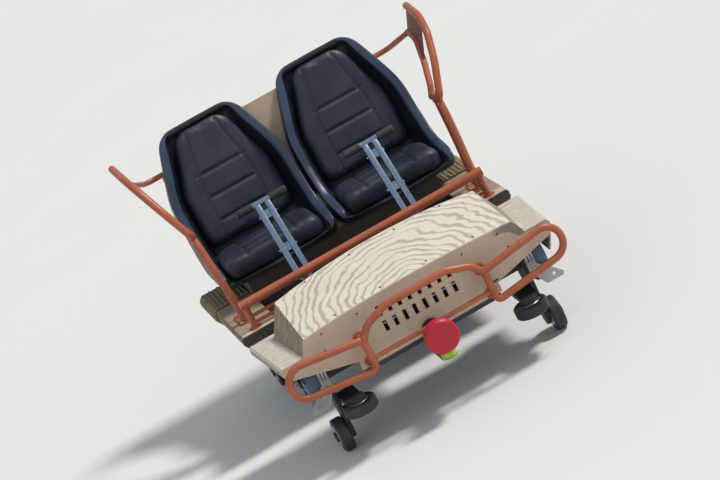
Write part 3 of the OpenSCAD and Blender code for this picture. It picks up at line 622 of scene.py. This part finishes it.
def bucket_rings():
    """Sections of a double-walled bucket, from the front of the seat to the top of the back."""
    # Seat and foot of the back: (x, z) of the base, (x, z) of the rim, half width
    rows = [((-370, 598), (-367, 607), 264), ((-374, 605), (-369, 631), 282),
            ((-384, 609), (-377, 648), 289), ((-405, 610), (-399, 664), 293),
            ((-450, 610), (-445, 674), SHELL_HALF), ((-520, 610), (-513, 683), SHELL_HALF),
            ((-590, 610), (-572, 692), SHELL_HALF), ((-655, 610), (-608, 720), SHELL_HALF),
            ((-712, 613), (-632, 747), SHELL_HALF), ((-750, 628), (-651, 772), SHELL_HALF),
            (back_at(52, 0), (-669, 797), SHELL_HALF), (back_at(112, 0), (-684, 818), SHELL_HALF),
            (back_at(180, 0), back_at(196, 125), SHELL_HALF),
            (back_at(250, 0), back_at(260, 116), SHELL_HALF)]
    rows = [(*row, 0) for row in rows]
    # Back: place along it, depth of the wings, rise of the hollow's floor
    for s, wing, rise in ((320, 107, 0), (380, 100, 0), (440, 92, 0), (500, 74, 0),
                          (545, 61, 0), (580, 50, 0), (598, 43, 4), (608, 39, 20),
                          (616, 36, 31), (626, 32, 31), (634, 29, 29), (638, 26, 24)):
        rows.append((back_at(s, 0), back_at(s, wing), half_width(s), rise))
    rings = []
    for (bx, bz), (tx, tz), w, rise in rows:
        wing = math.hypot(tx - bx, tz - bz)
        floor = rise / wing
        thin = min(1, wing / 60)

        def wall(inset, share):
            return w - inset * thin, floor + (1 - floor) * share

        # (y, share of the wing) from the middle of the hollow, over the rim and back underneath
        half = [(0, floor), (0.34 * w, floor), (0.62 * w, floor), wall(104, 0.01), wall(80, 0.06),
                wall(62, 0.22), wall(52, 0.5), wall(45, 0.78), wall(40, 0.9),
                (w - 34 * thin, 0.96), (w - 20 * thin, 0.985), (w - 7 * thin, 1.0),
                (w - 1.5, 0.985), (w, 1 - 8 / wing), (w, 0.45), (w - 1, 0.0),
                (w - 5, -9 / wing), (w - 14, -12 / wing), (0.5 * w, -12 / wing), (0, -12 / wing)]
        loop = half + [(-y, t) for y, t in half[-2:0:-1]]
        rings.append([(bx + (tx - bx) * t, y, bz + (tz - bz) * t) for y, t in loop])
    return rings


# The strips along the bucket, by point of the section, that are the rolled lip
LIP_STRIPS = (8, 9, 10, 11, 26, 27, 28, 29)


def bucket(name, side):
    """One seat shell, with its lip in a colour of its own."""
    piece = Piece(name)
    rings = [[mm(x, SEAT_Y * side + y, z) for x, y, z in ring] for ring in bucket_rings()]
    piece.loft(rings)
    for i, face in enumerate(list(piece.bm.faces)[:-2]):
        if i % len(rings[0]) in LIP_STRIPS:
            face.material_index = 1
    obj = piece.done(SHELL, "car", sharp=60)
    obj.data.materials.append(LIP)
    smooth = obj.modifiers.new("smooth", "SUBSURF")
    smooth.levels = smooth.render_levels = 1
    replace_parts(obj, "seat_shell_" + ("left" if side > 0 else "right"))


def inflate(obj, cap):
    """Cloth with pressure and no gravity, applied. No point moves further than cap."""
    scene = bpy.context.scene
    rest = [v.co.copy() for v in obj.data.vertices]
    cloth = obj.modifiers.new("cloth", "CLOTH")
    cloth.settings.quality = 5
    cloth.settings.mass = 0.3
    cloth.settings.use_pressure = True
    cloth.settings.uniform_pressure_force = 4
    cloth.settings.tension_stiffness = 12
    cloth.settings.compression_stiffness = 12
    cloth.settings.bending_stiffness = 0.6
    cloth.settings.effector_weights.gravity = 0
    cloth.collision_settings.use_collision = False
    for f in range(1, 21):
        scene.frame_set(f)
    moved = [v.co.copy() for v in evaluated(obj).data.vertices]
    obj.modifiers.remove(cloth)
    scene.frame_set(1)
    for v, a, b in zip(obj.data.vertices, rest, moved):
        step = b - a
        v.co = a + step * min(1, cap / step.length) if step.length > 1e-9 else a


def pad(name, outline, place, thickness, seams, cap, replaced):
    """A cushion: outline is (u, v) in mm, place maps (u, v, w) to a point, w is up to thickness.

    seams are (start, end, half width, depth) in metres, and cap is how far the cloth may swell.
    """
    bm = bmesh.new()
    n = len(outline)
    # (height, size of the outline), as shares
    levels = [(0.0, 0.955), (0.10, 0.99), (0.45, 1.0), (0.80, 0.985), (0.95, 0.94), (1.0, 0.88)]
    cu = sum(p[0] for p in outline) / n
    cv = sum(p[1] for p in outline) / n
    rows = [[bm.verts.new(place(cu + (u - cu) * k, cv + (v - cv) * k, w * thickness))
             for u, v in outline] for w, k in levels]
    for a, b in zip(rows, rows[1:]):
        for k in range(n):
            bm.faces.new((a[k], a[(k + 1) % n], b[(k + 1) % n], b[k]))
    bm.faces.new(rows[0][::-1])
    bm.faces.new(rows[-1])
    bmesh.ops.recalc_face_normals(bm, faces=bm.faces)
    data = bpy.data.meshes.new(name)
    bm.to_mesh(data)
    bm.free()
    obj = add_object(name, data)
    remesh = obj.modifiers.new("voxels", "REMESH")
    remesh.mode = "VOXEL"
    remesh.voxel_size = 0.0065
    final = bpy.data.meshes.new_from_object(evaluated(obj))
    obj.modifiers.clear()
    obj.data = final
    inflate(obj, cap)
    relax = bmesh.new()
    relax.from_mesh(obj.data)
    for _ in range(4):
        bmesh.ops.smooth_vert(relax, verts=relax.verts, factor=0.5,
                              use_axis_x=True, use_axis_y=True, use_axis_z=True)
    relax.normal_update()
    for v in relax.verts:
        sink = 0.0
        for a, b, width, depth in seams:
            t = max(0.0, min(1.0, (v.co - a).dot(b - a) / (b - a).length_squared))
            gap = (v.co - (a + (b - a) * t)).length
            sink = max(sink, depth * math.exp(-(gap / width) ** 2))
        v.co -= v.normal * sink
    relax.to_mesh(obj.data)
    relax.free()
    obj.data.materials.clear()
    obj.data.materials.append(COVER)
    obj.data.shade_smooth()
    smooth = obj.modifiers.new("smooth", "SUBSURF")
    smooth.levels = smooth.render_levels = 1
    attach(obj, "car")
    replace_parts(obj, replaced)


def seat_place(side):
    """Cushions lie 2 mm above the shell and fall by 3% behind x = -420."""
    return lambda u, v, w: mm(v, SEAT_Y * side + u, SHELL_Z + 2 + w - max(0, (-v - 420) * 0.03))


def back_place(side):
    """Backrests lie 6 mm ahead of the shell."""
    def place(u, v, w):
        x, z = back_at(v, 6 + w)
        return mm(x, SEAT_Y * side + u, z)
    return place


CUSHION = flat_path([(-246, -690), (246, -690), (246, -378), (-246, -378)],
                    [60, 60, 46, 46], closed=True, n=8)
BACKREST = flat_path([(-226, 66), (226, 66), (226, 330), (126, 612), (-126, 612), (-226, 330)],
                     [56, 56, 240, 80, 80, 240], closed=True, n=7)
CUSHION_THICK, BACKREST_THICK = 84, 46
SEAM_WIDTH = 0.008
for side, word in ((1, "left"), (-1, "right")):
    bucket("bucket_" + word, side)
    # The seams run at the height that the cloth swells to
    put, top = seat_place(side), CUSHION_THICK + 5
    seams = [(put(u, -395, top), put(u, -665, top), SEAM_WIDTH, 0.008) for u in (-120, 120)]
    seams += [(put(-120, v, top), put(120, v, top), SEAM_WIDTH, 0.008) for v in (-460, -560)]
    pad("cushion_" + word, CUSHION, put, CUSHION_THICK, seams, 0.007, "seat_pad_" + word)
    put, top = back_place(side), BACKREST_THICK + 5
    seams = [(put(s * 128, 80, top), put(s * 122, 330, top), SEAM_WIDTH, 0.009) for s in (1, -1)]
    seams += [(put(s * 122, 330, top), put(s * 76, 590, top), SEAM_WIDTH, 0.009) for s in (1, -1)]
    seams += [(put(-120, v, top), put(120, v, top), SEAM_WIDTH, 0.009) for v in (170, 280, 390)]
    pad("backrest_" + word, BACKREST, put, BACKREST_THICK, seams, 0.008, "back_pad_" + word)


# Rope wrapping: ribs over each rear block, and strands along its top

RIB_PITCH, STRAND_PITCH = 19.9, 20.5
STRAND_STEP = 7.3


def rope_wrap(name, side):
    """15 ribs down the outer side of a block, and 8 strands woven over them on its top."""
    piece = Piece(name)
    section = [(488, 504.5), (654, 504.5), (671, 488), (671, 465), (618, 380)]
    for i in range(15):
        flat = [mm(-525 - RIB_PITCH * i, side * y, z) for y, z in section]
        path = rounded(flat, [0, 0.012, 0.012, 0.02, 0])
        fine = []
        for a, b in zip(path, path[1:]):
            steps = max(1, int((b - a).length / 0.009))
            fine += [a.lerp(b, k / steps) for k in range(steps)]
        fine.append(path[-1])
        # Thin under the strands and thick outside, with an even change over 5 points
        radii = [0.0062 if abs(p.y) < 0.648 else 0.0092 for p in fine]
        near = [radii[max(0, j - 2):j + 3] for j in range(len(radii))]
        piece.tube(fine, [sum(part) / len(part) for part in near], sides=10)
    for k in range(8):
        y = 497 + STRAND_PITCH * k
        waves = [math.cos(math.tau * j * STRAND_STEP / (2 * RIB_PITCH) + k * math.pi) for j in range(40)]
        path = [mm(-519 - STRAND_STEP * j, side * y, 508.5 + 1.6 * wave) for j, wave in enumerate(waves)]
        piece.tube(path, 0.0058, sides=8)
    piece.done(ROPE, "car", sharp=80)


rope_wrap("rope_wrap_left", 1)
rope_wrap("rope_wrap_right", -1)


# Body trim

trim = Piece("box_ledges")
trim.block(mm(-30, 489, BOX_TOP), mm(36, 655, BOX_TOP + 5))
trim.done(LEDGE, "car", bevel=1, mirror=True)

# The nose box: its rear and front, its height there, its crown and its half width
NOSE_REAR, NOSE_FRONT, REAR_HIGH, FRONT_HIGH, CROWN, NOSE_HALF = 193, 665, 140, 68, 20, 485
screws = Piece("nose_screws")
for y in (-330, -110, 110, 330):
    for x in (232, 640):
        share = (x - NOSE_REAR) / (NOSE_FRONT - NOSE_REAR)
        high = REAR_HIGH + (FRONT_HIGH - REAR_HIGH) * share + CROWN * (1 - (y / NOSE_HALF) ** 2)
        screws.dome(mm(x, y, BOX_TOP + high), (0.15, 0, 1), 11)
screws.done(SCREW, "nose")

AHEAD = (1, 0, 0)
rivets = Piece("fascia_screws")
for z, size, columns in ((480, 10, (-560, -440, 440, 560)), (552, 9, (-420, -250, 250, 420)),
                         (345, 9, (-300, -150, 150, 300))):
    for y in columns:
        rivets.dome(mm(FASCIA_X, y, z), AHEAD, size)
# A short slot low on the left: a dark sheet on the face, painted shade in its opening
slot_shade = flat_path([(312, 372), (342, 376), (342, 385), (312, 381)], [3] * 4, closed=True, n=3)
rivets.slab([mm(FASCIA_X - 0.2, y, z) for y, z in slot_shade], Vector((0.0006, 0, 0)))
rivets.done(SCREW, "nose")

shiny = Piece("fascia_bolts")
for y, z in ((181, 405), (245, 345), (-181, 405), (-245, 345), (240, 502), (-240, 502)):
    shiny.dome(mm(FASCIA_X, y, z), AHEAD, 12)
shiny.done(BOLT, "nose")

# Guard plates hang behind the fascia, ahead of the front wheels
for side, word in ((1, "left"), (-1, "right")):
    guard = plate("guard", [(-476, 436), (-516, 436), (-516, 350), (-556, 318), (-606, 264), (-600, 250),
                            (-526, 250), (-518, 258), (-476, 330)],
                  [(-566, 274, 8)], 6, lambda u, v, d: mm(660 + d, -side * u, v))
    show("guard_plate_" + word, guard, GREY, "nose", flip=side > 0)
lugs = Piece("guard_lugs")
for y in (482, 496, 510):
    lugs.block(mm(662, y - 4.5, 368), mm(676, y + 4.5, 418))
for y, z in ((500, 336), (528, 306)):
    lugs.bolt(mm(662, y, z), AHEAD, 14)
lugs.done(BOLT, "nose", bevel=1.2, mirror=True)

# Marks on the towing tongue, and round the outside of its eye
marks = Piece("tow_marks")
marks.block(mm(690, -34, 253.8), mm(736, 0, 255.6))
marks.block(mm(776, -26, 253.8), mm(795, 26, 255.6))
arc = [math.radians(-75 + 10 * k) for k in range(16)]
marks.loft([[mm(765 + r * math.cos(a), r * math.sin(a), z)
             for r, z in ((34.6, 226), (36, 226), (36, 250), (34.6, 250))] for a in arc])
marks.done(LIME, "nose", bevel=0.4)

# Border and rivets of the octagonal back cover
COVER_HALF, CUT, LOW_S, HIGH_S, BAND = 558, 110, 60, 570, 42


def octagon(inset, d):
    """Its outline, drawn in by inset, at d ahead of the back."""
    k = inset * math.tan(math.pi / 8)
    y_cut, y_edge = COVER_HALF - CUT - k, COVER_HALF - inset
    low, low_cut = LOW_S + inset, LOW_S + CUT + k
    high, high_cut = HIGH_S - inset, HIGH_S - CUT - k
    points = [(-y_cut, low), (y_cut, low), (y_edge, low_cut), (y_edge, high_cut),
              (y_cut, high), (-y_cut, high), (-y_edge, high_cut), (-y_edge, low_cut)]
    return [mm(back_at(s, d)[0], y, back_at(s, d)[1]) for y, s in points]


border = Piece("back_border")
border.loft(list(zip(octagon(2, -24), octagon(3, -28), octagon(BAND - 1, -28), octagon(BAND, -24))),
            closed=True)
border.done(OLIVE, "car")

pins = Piece("back_rivets")
corners = octagon(22, -28)
for p, q in zip(corners, corners[1:] + corners[:1]):
    for t in (0.15, 0.5, 0.85):
        pins.dome(p.lerp(q, t), BACKWARD, 12)
pins.done(BOLT, "car")

# Wheels: bolts on the hubs, discs and nuts on both faces of the small wheels

NUT_CIRCLE = 52
GUIDE_Y, GUIDE_Z, GUIDE_AHEAD = 413, 197, 150
UPSTOP_Y, UPSTOP_Z = 517, 75
DISC_FACE, DISC_CIRCLE = 0.025, 0.032
for end, (x, side, ahead) in ENDS.items():
    out = Vector((0, side, 0))
    nuts = Piece("hub_nuts_" + end)
    for face in (1, -1):
        for k in range(6):
            a = math.tau * k / 6
            at = mm(x + NUT_CIRCLE * math.cos(a), side * (WHEEL_Y + face * 20),
                    WHEEL_Z + NUT_CIRCLE * math.sin(a))
            nuts.bolt(at, out * face, 15)
    nuts.done(BOLT, "wheel_" + end, bevel=0.5)
    for kind, at, axis in (
            ("guide", mm(x + ahead * GUIDE_AHEAD, side * GUIDE_Y, GUIDE_Z), Vector((0, 0, 1))),
            ("upstop", mm(x, side * UPSTOP_Y, UPSTOP_Z), Vector((0, 1, 0)))):
        disc = Piece(f"{kind}_disc_{end}")
        for face in (1, -1):
            disc.lathe(at + axis * DISC_FACE * face, axis * face,
                       [(-0.5, 17), (0.9, 17), (1.3, 46), (-0.5, 48)], 40)
            for spoke in spokes(*axes(axis)[1:], 5):
                disc.bolt(at + axis * (DISC_FACE + 0.0005) * face + spoke * DISC_CIRCLE,
                          axis * face, 9, head=0.14)
        disc.done(HUB, f"{kind}_{end}")

# Lap bars: twin rails with webs, a hub on the pin, grips on the handle, bolts along the rails

BAR_X, BAR_Z, BAR_LEAN, BAR_LEN = -85, 490, math.radians(34), 475
WEBS = (92, 236, BAR_LEN - 64)


def bar_at(side, along, ahead, y):
    """A point in mm from the bar's pin: along the bar, ahead of it and across the car."""
    dx = -along * math.sin(BAR_LEAN) + ahead * math.cos(BAR_LEAN)
    dz = along * math.cos(BAR_LEAN) + ahead * math.sin(BAR_LEAN)
    return mm(BAR_X + dx, side * 272 + y, BAR_Z + dz)


def bar_rail(piece, side, s):
    """One rail: narrow between the ears of its bracket, broad above them."""
    rings = []
    for along, inner, outer, half in (
            (14, 12.5, 24, 13), (66, 12.5, 24, 13), (84, 10.5, 37, 15), (300, 10.5, 38, 15),
            (BAR_LEN - 26, 10.5, 38, 15), (BAR_LEN - 2, 10.5, 37, 11)):
        ring = flat_path([(-half, inner), (half, inner), (half, outer), (-half, outer)],
                         [3.5] * 4, closed=True, n=3)
        rings.append([bar_at(side, along, a, s * y) for a, y in ring])
    piece.loft(rings)


for side, word in ((1, "left"), (-1, "right")):
    bars = Piece("lap_rails_" + word)
    for s in (1, -1):
        bar_rail(bars, side, s)
    for along in WEBS:
        bars.loft([[bar_at(side, along + h, a, y) for a, y in ((-11, -12), (11, -12), (11, 12), (-11, 12))]
                   for h in (-20, 20)])
    bars.tube([bar_at(side, 0, 0, y) for y in (-48, 48)], 0.010, sides=24)
    bars.tube([bar_at(side, 0, 0, y) for y in (-24, 24)], 0.023, sides=36)
    bars.tube([bar_at(side, BAR_LEN, 0, y) for y in (-124.5, 124.5)], 0.015, sides=28)
    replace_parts(bars.done(RAIL, "lap_bar_" + word, sharp=35), "lap_bar_" + word)
    beads = Piece("lap_welds_" + word)
    for s in (1, -1):
        beads.bead(bar_at(side, BAR_LEN, 0, s * 39), (0, 1, 0), 15, 2.2)
    beads.done(RAIL, "lap_bar_" + word, sharp=80)
    grips = Piece("lap_grips_" + word)
    for s in (1, -1):
        start = bar_at(side, BAR_LEN, 0, s * 44)
        ripples = [(8 + 8 * k, 19 - (k % 2) * 0.8) for k in range(9)]
        grips.lathe(start, (0, s, 0),
                    [(0, 15.05), (0, 17.5), (4, 19), *ripples, (78, 18.4), (80, 15.05)], 24)
    grips.done(GRIP, "lap_bar_" + word, sharp=60)
    studs = Piece("lap_bolts_" + word)
    for along in (100, 236, BAR_LEN - 64):
        for s in (1, -1):
            studs.bolt(bar_at(side, along, 0, s * 37.5), (0, s, 0), 13)
    for s in (1, -1):
        studs.bolt(bar_at(side, 0, 0, s * 48), (0, s, 0), 18)
    studs.done(BOLT, "lap_bar_" + word, bevel=0.4)

# Bumper: bent tubes in one plane, with welded joints and bolted feet

HOOP_IN, HOOP_OUT = 288, 645


def front(y, z):
    """A point in the bumper's plane."""
    return mm(BUMPER_X, y, z)


bump = Piece("bumper_tubes")
beads = Piece("bumper_welds")
feet = Piece("bumper_feet")
for s in (1, -1):
    hoop = rounded([front(HOOP_IN * s, 322), front(HOOP_OUT * s, 366),
                    front(HOOP_OUT * s, 515), front(HOOP_IN * s, 466)],
                   [0.022, 0.072, 0.072, 0.022], closed=True, n=10)
    bump.tube(hoop, 0.016, closed=True, sides=20)
    for z in (346, 458):
        bump.tube([mm(FASCIA_X - 1, HOOP_IN * s, z), front(HOOP_IN * s, z)], 0.012, sides=18)
        beads.bead(mm(BUMPER_X - 15, HOOP_IN * s, z), AHEAD, 12)
        feet.lathe(mm(FASCIA_X - 0.5, HOOP_IN * s, z), AHEAD,
                   [(0, 12.1), (0, 27), (4, 27), (5, 25.5), (5, 12.1)], 30)
        beads.bead(mm(FASCIA_X + 5, HOOP_IN * s, z), AHEAD, 12)
        for k in range(4):
            a = math.pi / 4 + math.pi / 2 * k
            feet.bolt(mm(FASCIA_X + 4, HOOP_IN * s + 20 * math.cos(a), z + 20 * math.sin(a)), AHEAD, 8)
    beads.bead(front(272 * s, 374), (0, 1, 0), 10)
    beads.bead(front(278 * s, 474), (0, s * 0.64, -0.77), 16, 3)
raised = rounded([front(290, 458), front(243, 514), front(142, 550),
                  front(-142, 550), front(-243, 514), front(-290, 458)],
                 [0, 0.06, 0.09, 0.09, 0.06, 0], n=12)
bump.tube(raised, 0.016, sides=20)
bump.tube([front(-HOOP_IN, 374), front(HOOP_IN, 374)], 0.010, sides=18)
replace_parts(bump.done(ORANGE, "nose", sharp=60), "bumper")
beads.done(ORANGE, "nose", sharp=80)
feet.done(ORANGE, "nose")

# Side frames: a bent foot with a plate, twin rails with a perforated plate near the tip

FOOT_Y, KNEE = 590, 430
FOOT_LEAN, RAIL_LEAN = math.radians(4), math.radians(22)
KNEE_Y, KNEE_Z = FOOT_Y + KNEE * math.sin(FOOT_LEAN), BOX_TOP + KNEE * math.cos(FOOT_LEAN)


def on_plane(y, z, lean, x, h, d):
    return mm(x, y + d * math.cos(lean) + h * math.sin(lean), z - d * math.sin(lean) + h * math.cos(lean))


def on_foot(x, h, d=0.0):
    """A point at x and height h in the foot's leaning plane, d outside it."""
    return on_plane(FOOT_Y, BOX_TOP, FOOT_LEAN, x, h, d)


def on_rails(x, h, d=0.0):
    """The same in the plane of the rails, which starts at the knee."""
    return on_plane(KNEE_Y, KNEE_Z, RAIL_LEAN, x, h, d)


# Side views as (x, h), open paths with the radii of their corners
foot_path = flat_path([(-165, -20), (-170, 130), (-192, 270), (-222, 372), (-262, 436)],
                      [0, 260, 260, 160, 0])
rear_path = flat_path([(-345, 436), (-318, 350), (-284, 240), (-262, 120), (-256, -20)],
                      [0, 240, 260, 260, 0])
out_path = flat_path([(-352, -4), (-214, -4), (-258, 165), (-345, 280), (-470, 338), (-672, 358)],
                     [0, 34, 160, 110, 160, 0])
in_path = flat_path([(-352, -4), (-362, 40), (-440, 140), (-545, 222), (-672, 240)],
                    [0, 22, 200, 120, 0])


def frame_side(side, word):
    """One side frame, made on the left and mirrored for the right."""
    turn = Matrix.Diagonal((1, side, 1, 1))
    tubes = Piece("frame_tubes_" + word)
    welds = Piece("frame_welds_" + word)
    bolts = Piece("frame_bolts_" + word)
    start = [on_foot(x, h) for x, h in foot_path if h > 0]
    tubes.tube([on_foot(-165, 1)] + start, 0.017, sides=20)
    rear = [on_foot(x, h) for x, h in rear_path[::-1] if h > 0]
    tubes.tube([on_foot(-256, 1)] + rear, 0.007, sides=14)
    # Rails, each with a rounded tip: (radius, length of the tip, radii there)
    for flat, radius, tip, ends in ((out_path, 0.017, 0.006, [0.0165, 0.011]),
                                    (in_path, 0.0145, 0.005, [0.014, 0.009])):
        rail = [on_rails(x, h) for x, h in flat]
        rail.append(rail[-1] + (rail[-1] - rail[-2]).normalized() * tip)
        tubes.tube(rail, [radius] * (len(rail) - 2) + ends, sides=20)
    tubes.tube([on_foot(-262, 436), on_foot(-345, 436)], 0.012, sides=16)
    welds.bead(on_foot(-165, 12), UP, 17, 3)
    for x, h, r in ((-240, 5, 17), (-330, 3, 14)):
        welds.bead(on_rails(x, h), AHEAD, r)
    # Base plate on the side box, with bolts
    base = flat_path([(-132, 556), (-132, 624), (-290, 624), (-290, 556)], [12] * 4, closed=True, n=4)
    tubes.slab([mm(x, y, BOX_TOP + 0.2) for x, y in base], Vector((0, 0, 0.007)))
    for x in (-146, -276):
        for y in (568, 612):
            bolts.bolt(mm(x, y, BOX_TOP + 7.2), UP, 15)
    for x, h in ((-236, 408), (-322, 408)):
        for d in (1, -1):
            bolts.bolt(on_foot(x, h, d * 6), on_foot(x, h, d * 7) - on_foot(x, h, d * 6), 14)
    for piece in (tubes, welds, bolts):
        bmesh.ops.transform(piece.bm, matrix=turn, verts=piece.bm.verts)
    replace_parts(tubes.done(ORANGE, "car", sharp=60), "side_frame_" + word)
    welds.done(ORANGE, "car", sharp=80)
    bolts.done(BOLT, "car", bevel=0.4)
    foot_plate = plate("foot", [p for p in foot_path + rear_path if p[1] > 0], [], 10, on_foot)
    holes = [(-478 - 40 * i, 245 + 9 * i + 34 * j, 9) for i in range(5) for j in range(2)]
    web = plate("web", [p for p in out_path if p[0] < -445] + [p for p in in_path[::-1] if p[0] < -425],
                holes, 6, on_rails)
    for label, data, mat in (("frame_foot_", foot_plate, ORANGE), ("frame_web_", web, WEB_SHADED_RED)):
        data.transform(turn)
        show(label + word, data, mat, "car", flip=side < 0)


frame_side(1, "left")
frame_side(-1, "right")

# Cross bars behind the backs: the upper one comes from the ends of the inner rails
LOW_BAR_S = 150
ties = Piece("back_tubes")
joins = Piece("back_welds")
rail_end = on_rails(-664, 240)
turn = mm(-927, 632, 1062)
flip_y = Matrix.Diagonal((1, -1, 1))
across = [rail_end, turn, flip_y @ turn, flip_y @ rail_end]
ties.tube(rounded(across, [0, 0.06, 0.06, 0], n=10), 0.013, sides=20)
low_x, low_z = back_at(LOW_BAR_S, -23.1)
ties.tube([mm(low_x, y, low_z) for y in (-430, 430)], 0.013, sides=20)
for s, (a, b) in ((1, across[:2]), (-1, across[:1:-1])):
    at = a.lerp(b, 0.045)
    joins.bead(at, b - at, 13)
    for y in (412, -412):
        x, z = back_at(LOW_BAR_S + s * 13, -11)
        joins.bolt(mm(x, y, z), BACKWARD, 12)
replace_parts(ties.done(ORANGE, "car", sharp=60), "back_bars")
joins.done(ORANGE, "car", sharp=80)

# Stage, light and camera

floor_data = bpy.data.meshes.new("floor")
floor_data.from_pydata([(-90, -90, 0), (90, -90, 0), (90, 90, 0), (-90, 90, 0)], [], [(0, 1, 2, 3)])
floor = add_object("floor", floor_data)
floor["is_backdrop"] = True
floor_net = Net("floor", 0.85)
floor_net.colour(floor_net.mix(floor_net.noise(0.6, 2), (0.69, 0.685, 0.675), (0.715, 0.71, 0.70)))
floor_data.materials.append(floor_net.mat)

world = bpy.data.worlds.new("studio")
bpy.context.scene.world = world
world.use_nodes = True
background = world.node_tree.nodes["Background"]
background.inputs[0].default_value = (0.84, 0.92, 1.0, 1)
background.inputs[1].default_value = 0.47


def sun(name, direction, strength, angle, colour):
    """A sun that shines from that direction. angle is its size in degrees."""
    data = bpy.data.lights.new(name, "SUN")
    data.energy = strength
    data.angle = math.radians(angle)
    data.color = colour
    lamp = add_object(name, data)
    lamp.rotation_mode = "QUATERNION"
    lamp.rotation_quaternion = Vector(direction).to_track_quat("Z", "Y")


sun("key", (0.06, 0.72, 0.98), 2.75, 10, (1.0, 0.95, 0.88))
sun("fill", (0.9, -0.5, 0.45), 0.4, 70, (0.92, 0.96, 1.0))

# The camera stands off PIVOT at these angles, looks at AIM, and is rolled as the photo is
AZ, EL, ROLL = map(math.radians, (-7.8, 16.9, -27.3))
PIVOT, AIM = Vector((0.2, 0, 0.6)), Vector((0.02, 0, 0.6))
DISTANCE = 14.1
direction = Vector((math.cos(EL) * math.cos(AZ), math.cos(EL) * math.sin(AZ), math.sin(EL)))
camera_data = bpy.data.cameras.new("camera")
camera_data.lens = 165
camera_data.clip_end = 400
camera = add_object("camera", camera_data)
camera.location = PIVOT + direction * DISTANCE
view_dir = (AIM - camera.location).normalized()
right = view_dir.cross(UP).normalized()
up = right.cross(view_dir)
tilted_right = math.cos(ROLL) * right + math.sin(ROLL) * up
tilted_up = math.cos(ROLL) * up - math.sin(ROLL) * right
camera.rotation_mode = "QUATERNION"
camera.rotation_quaternion = Matrix((tilted_right, tilted_up, -view_dir)).transposed().to_quaternion()
bpy.context.scene.camera = camera
bpy.context.scene.view_settings.view_transform = "Standard"

low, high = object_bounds()
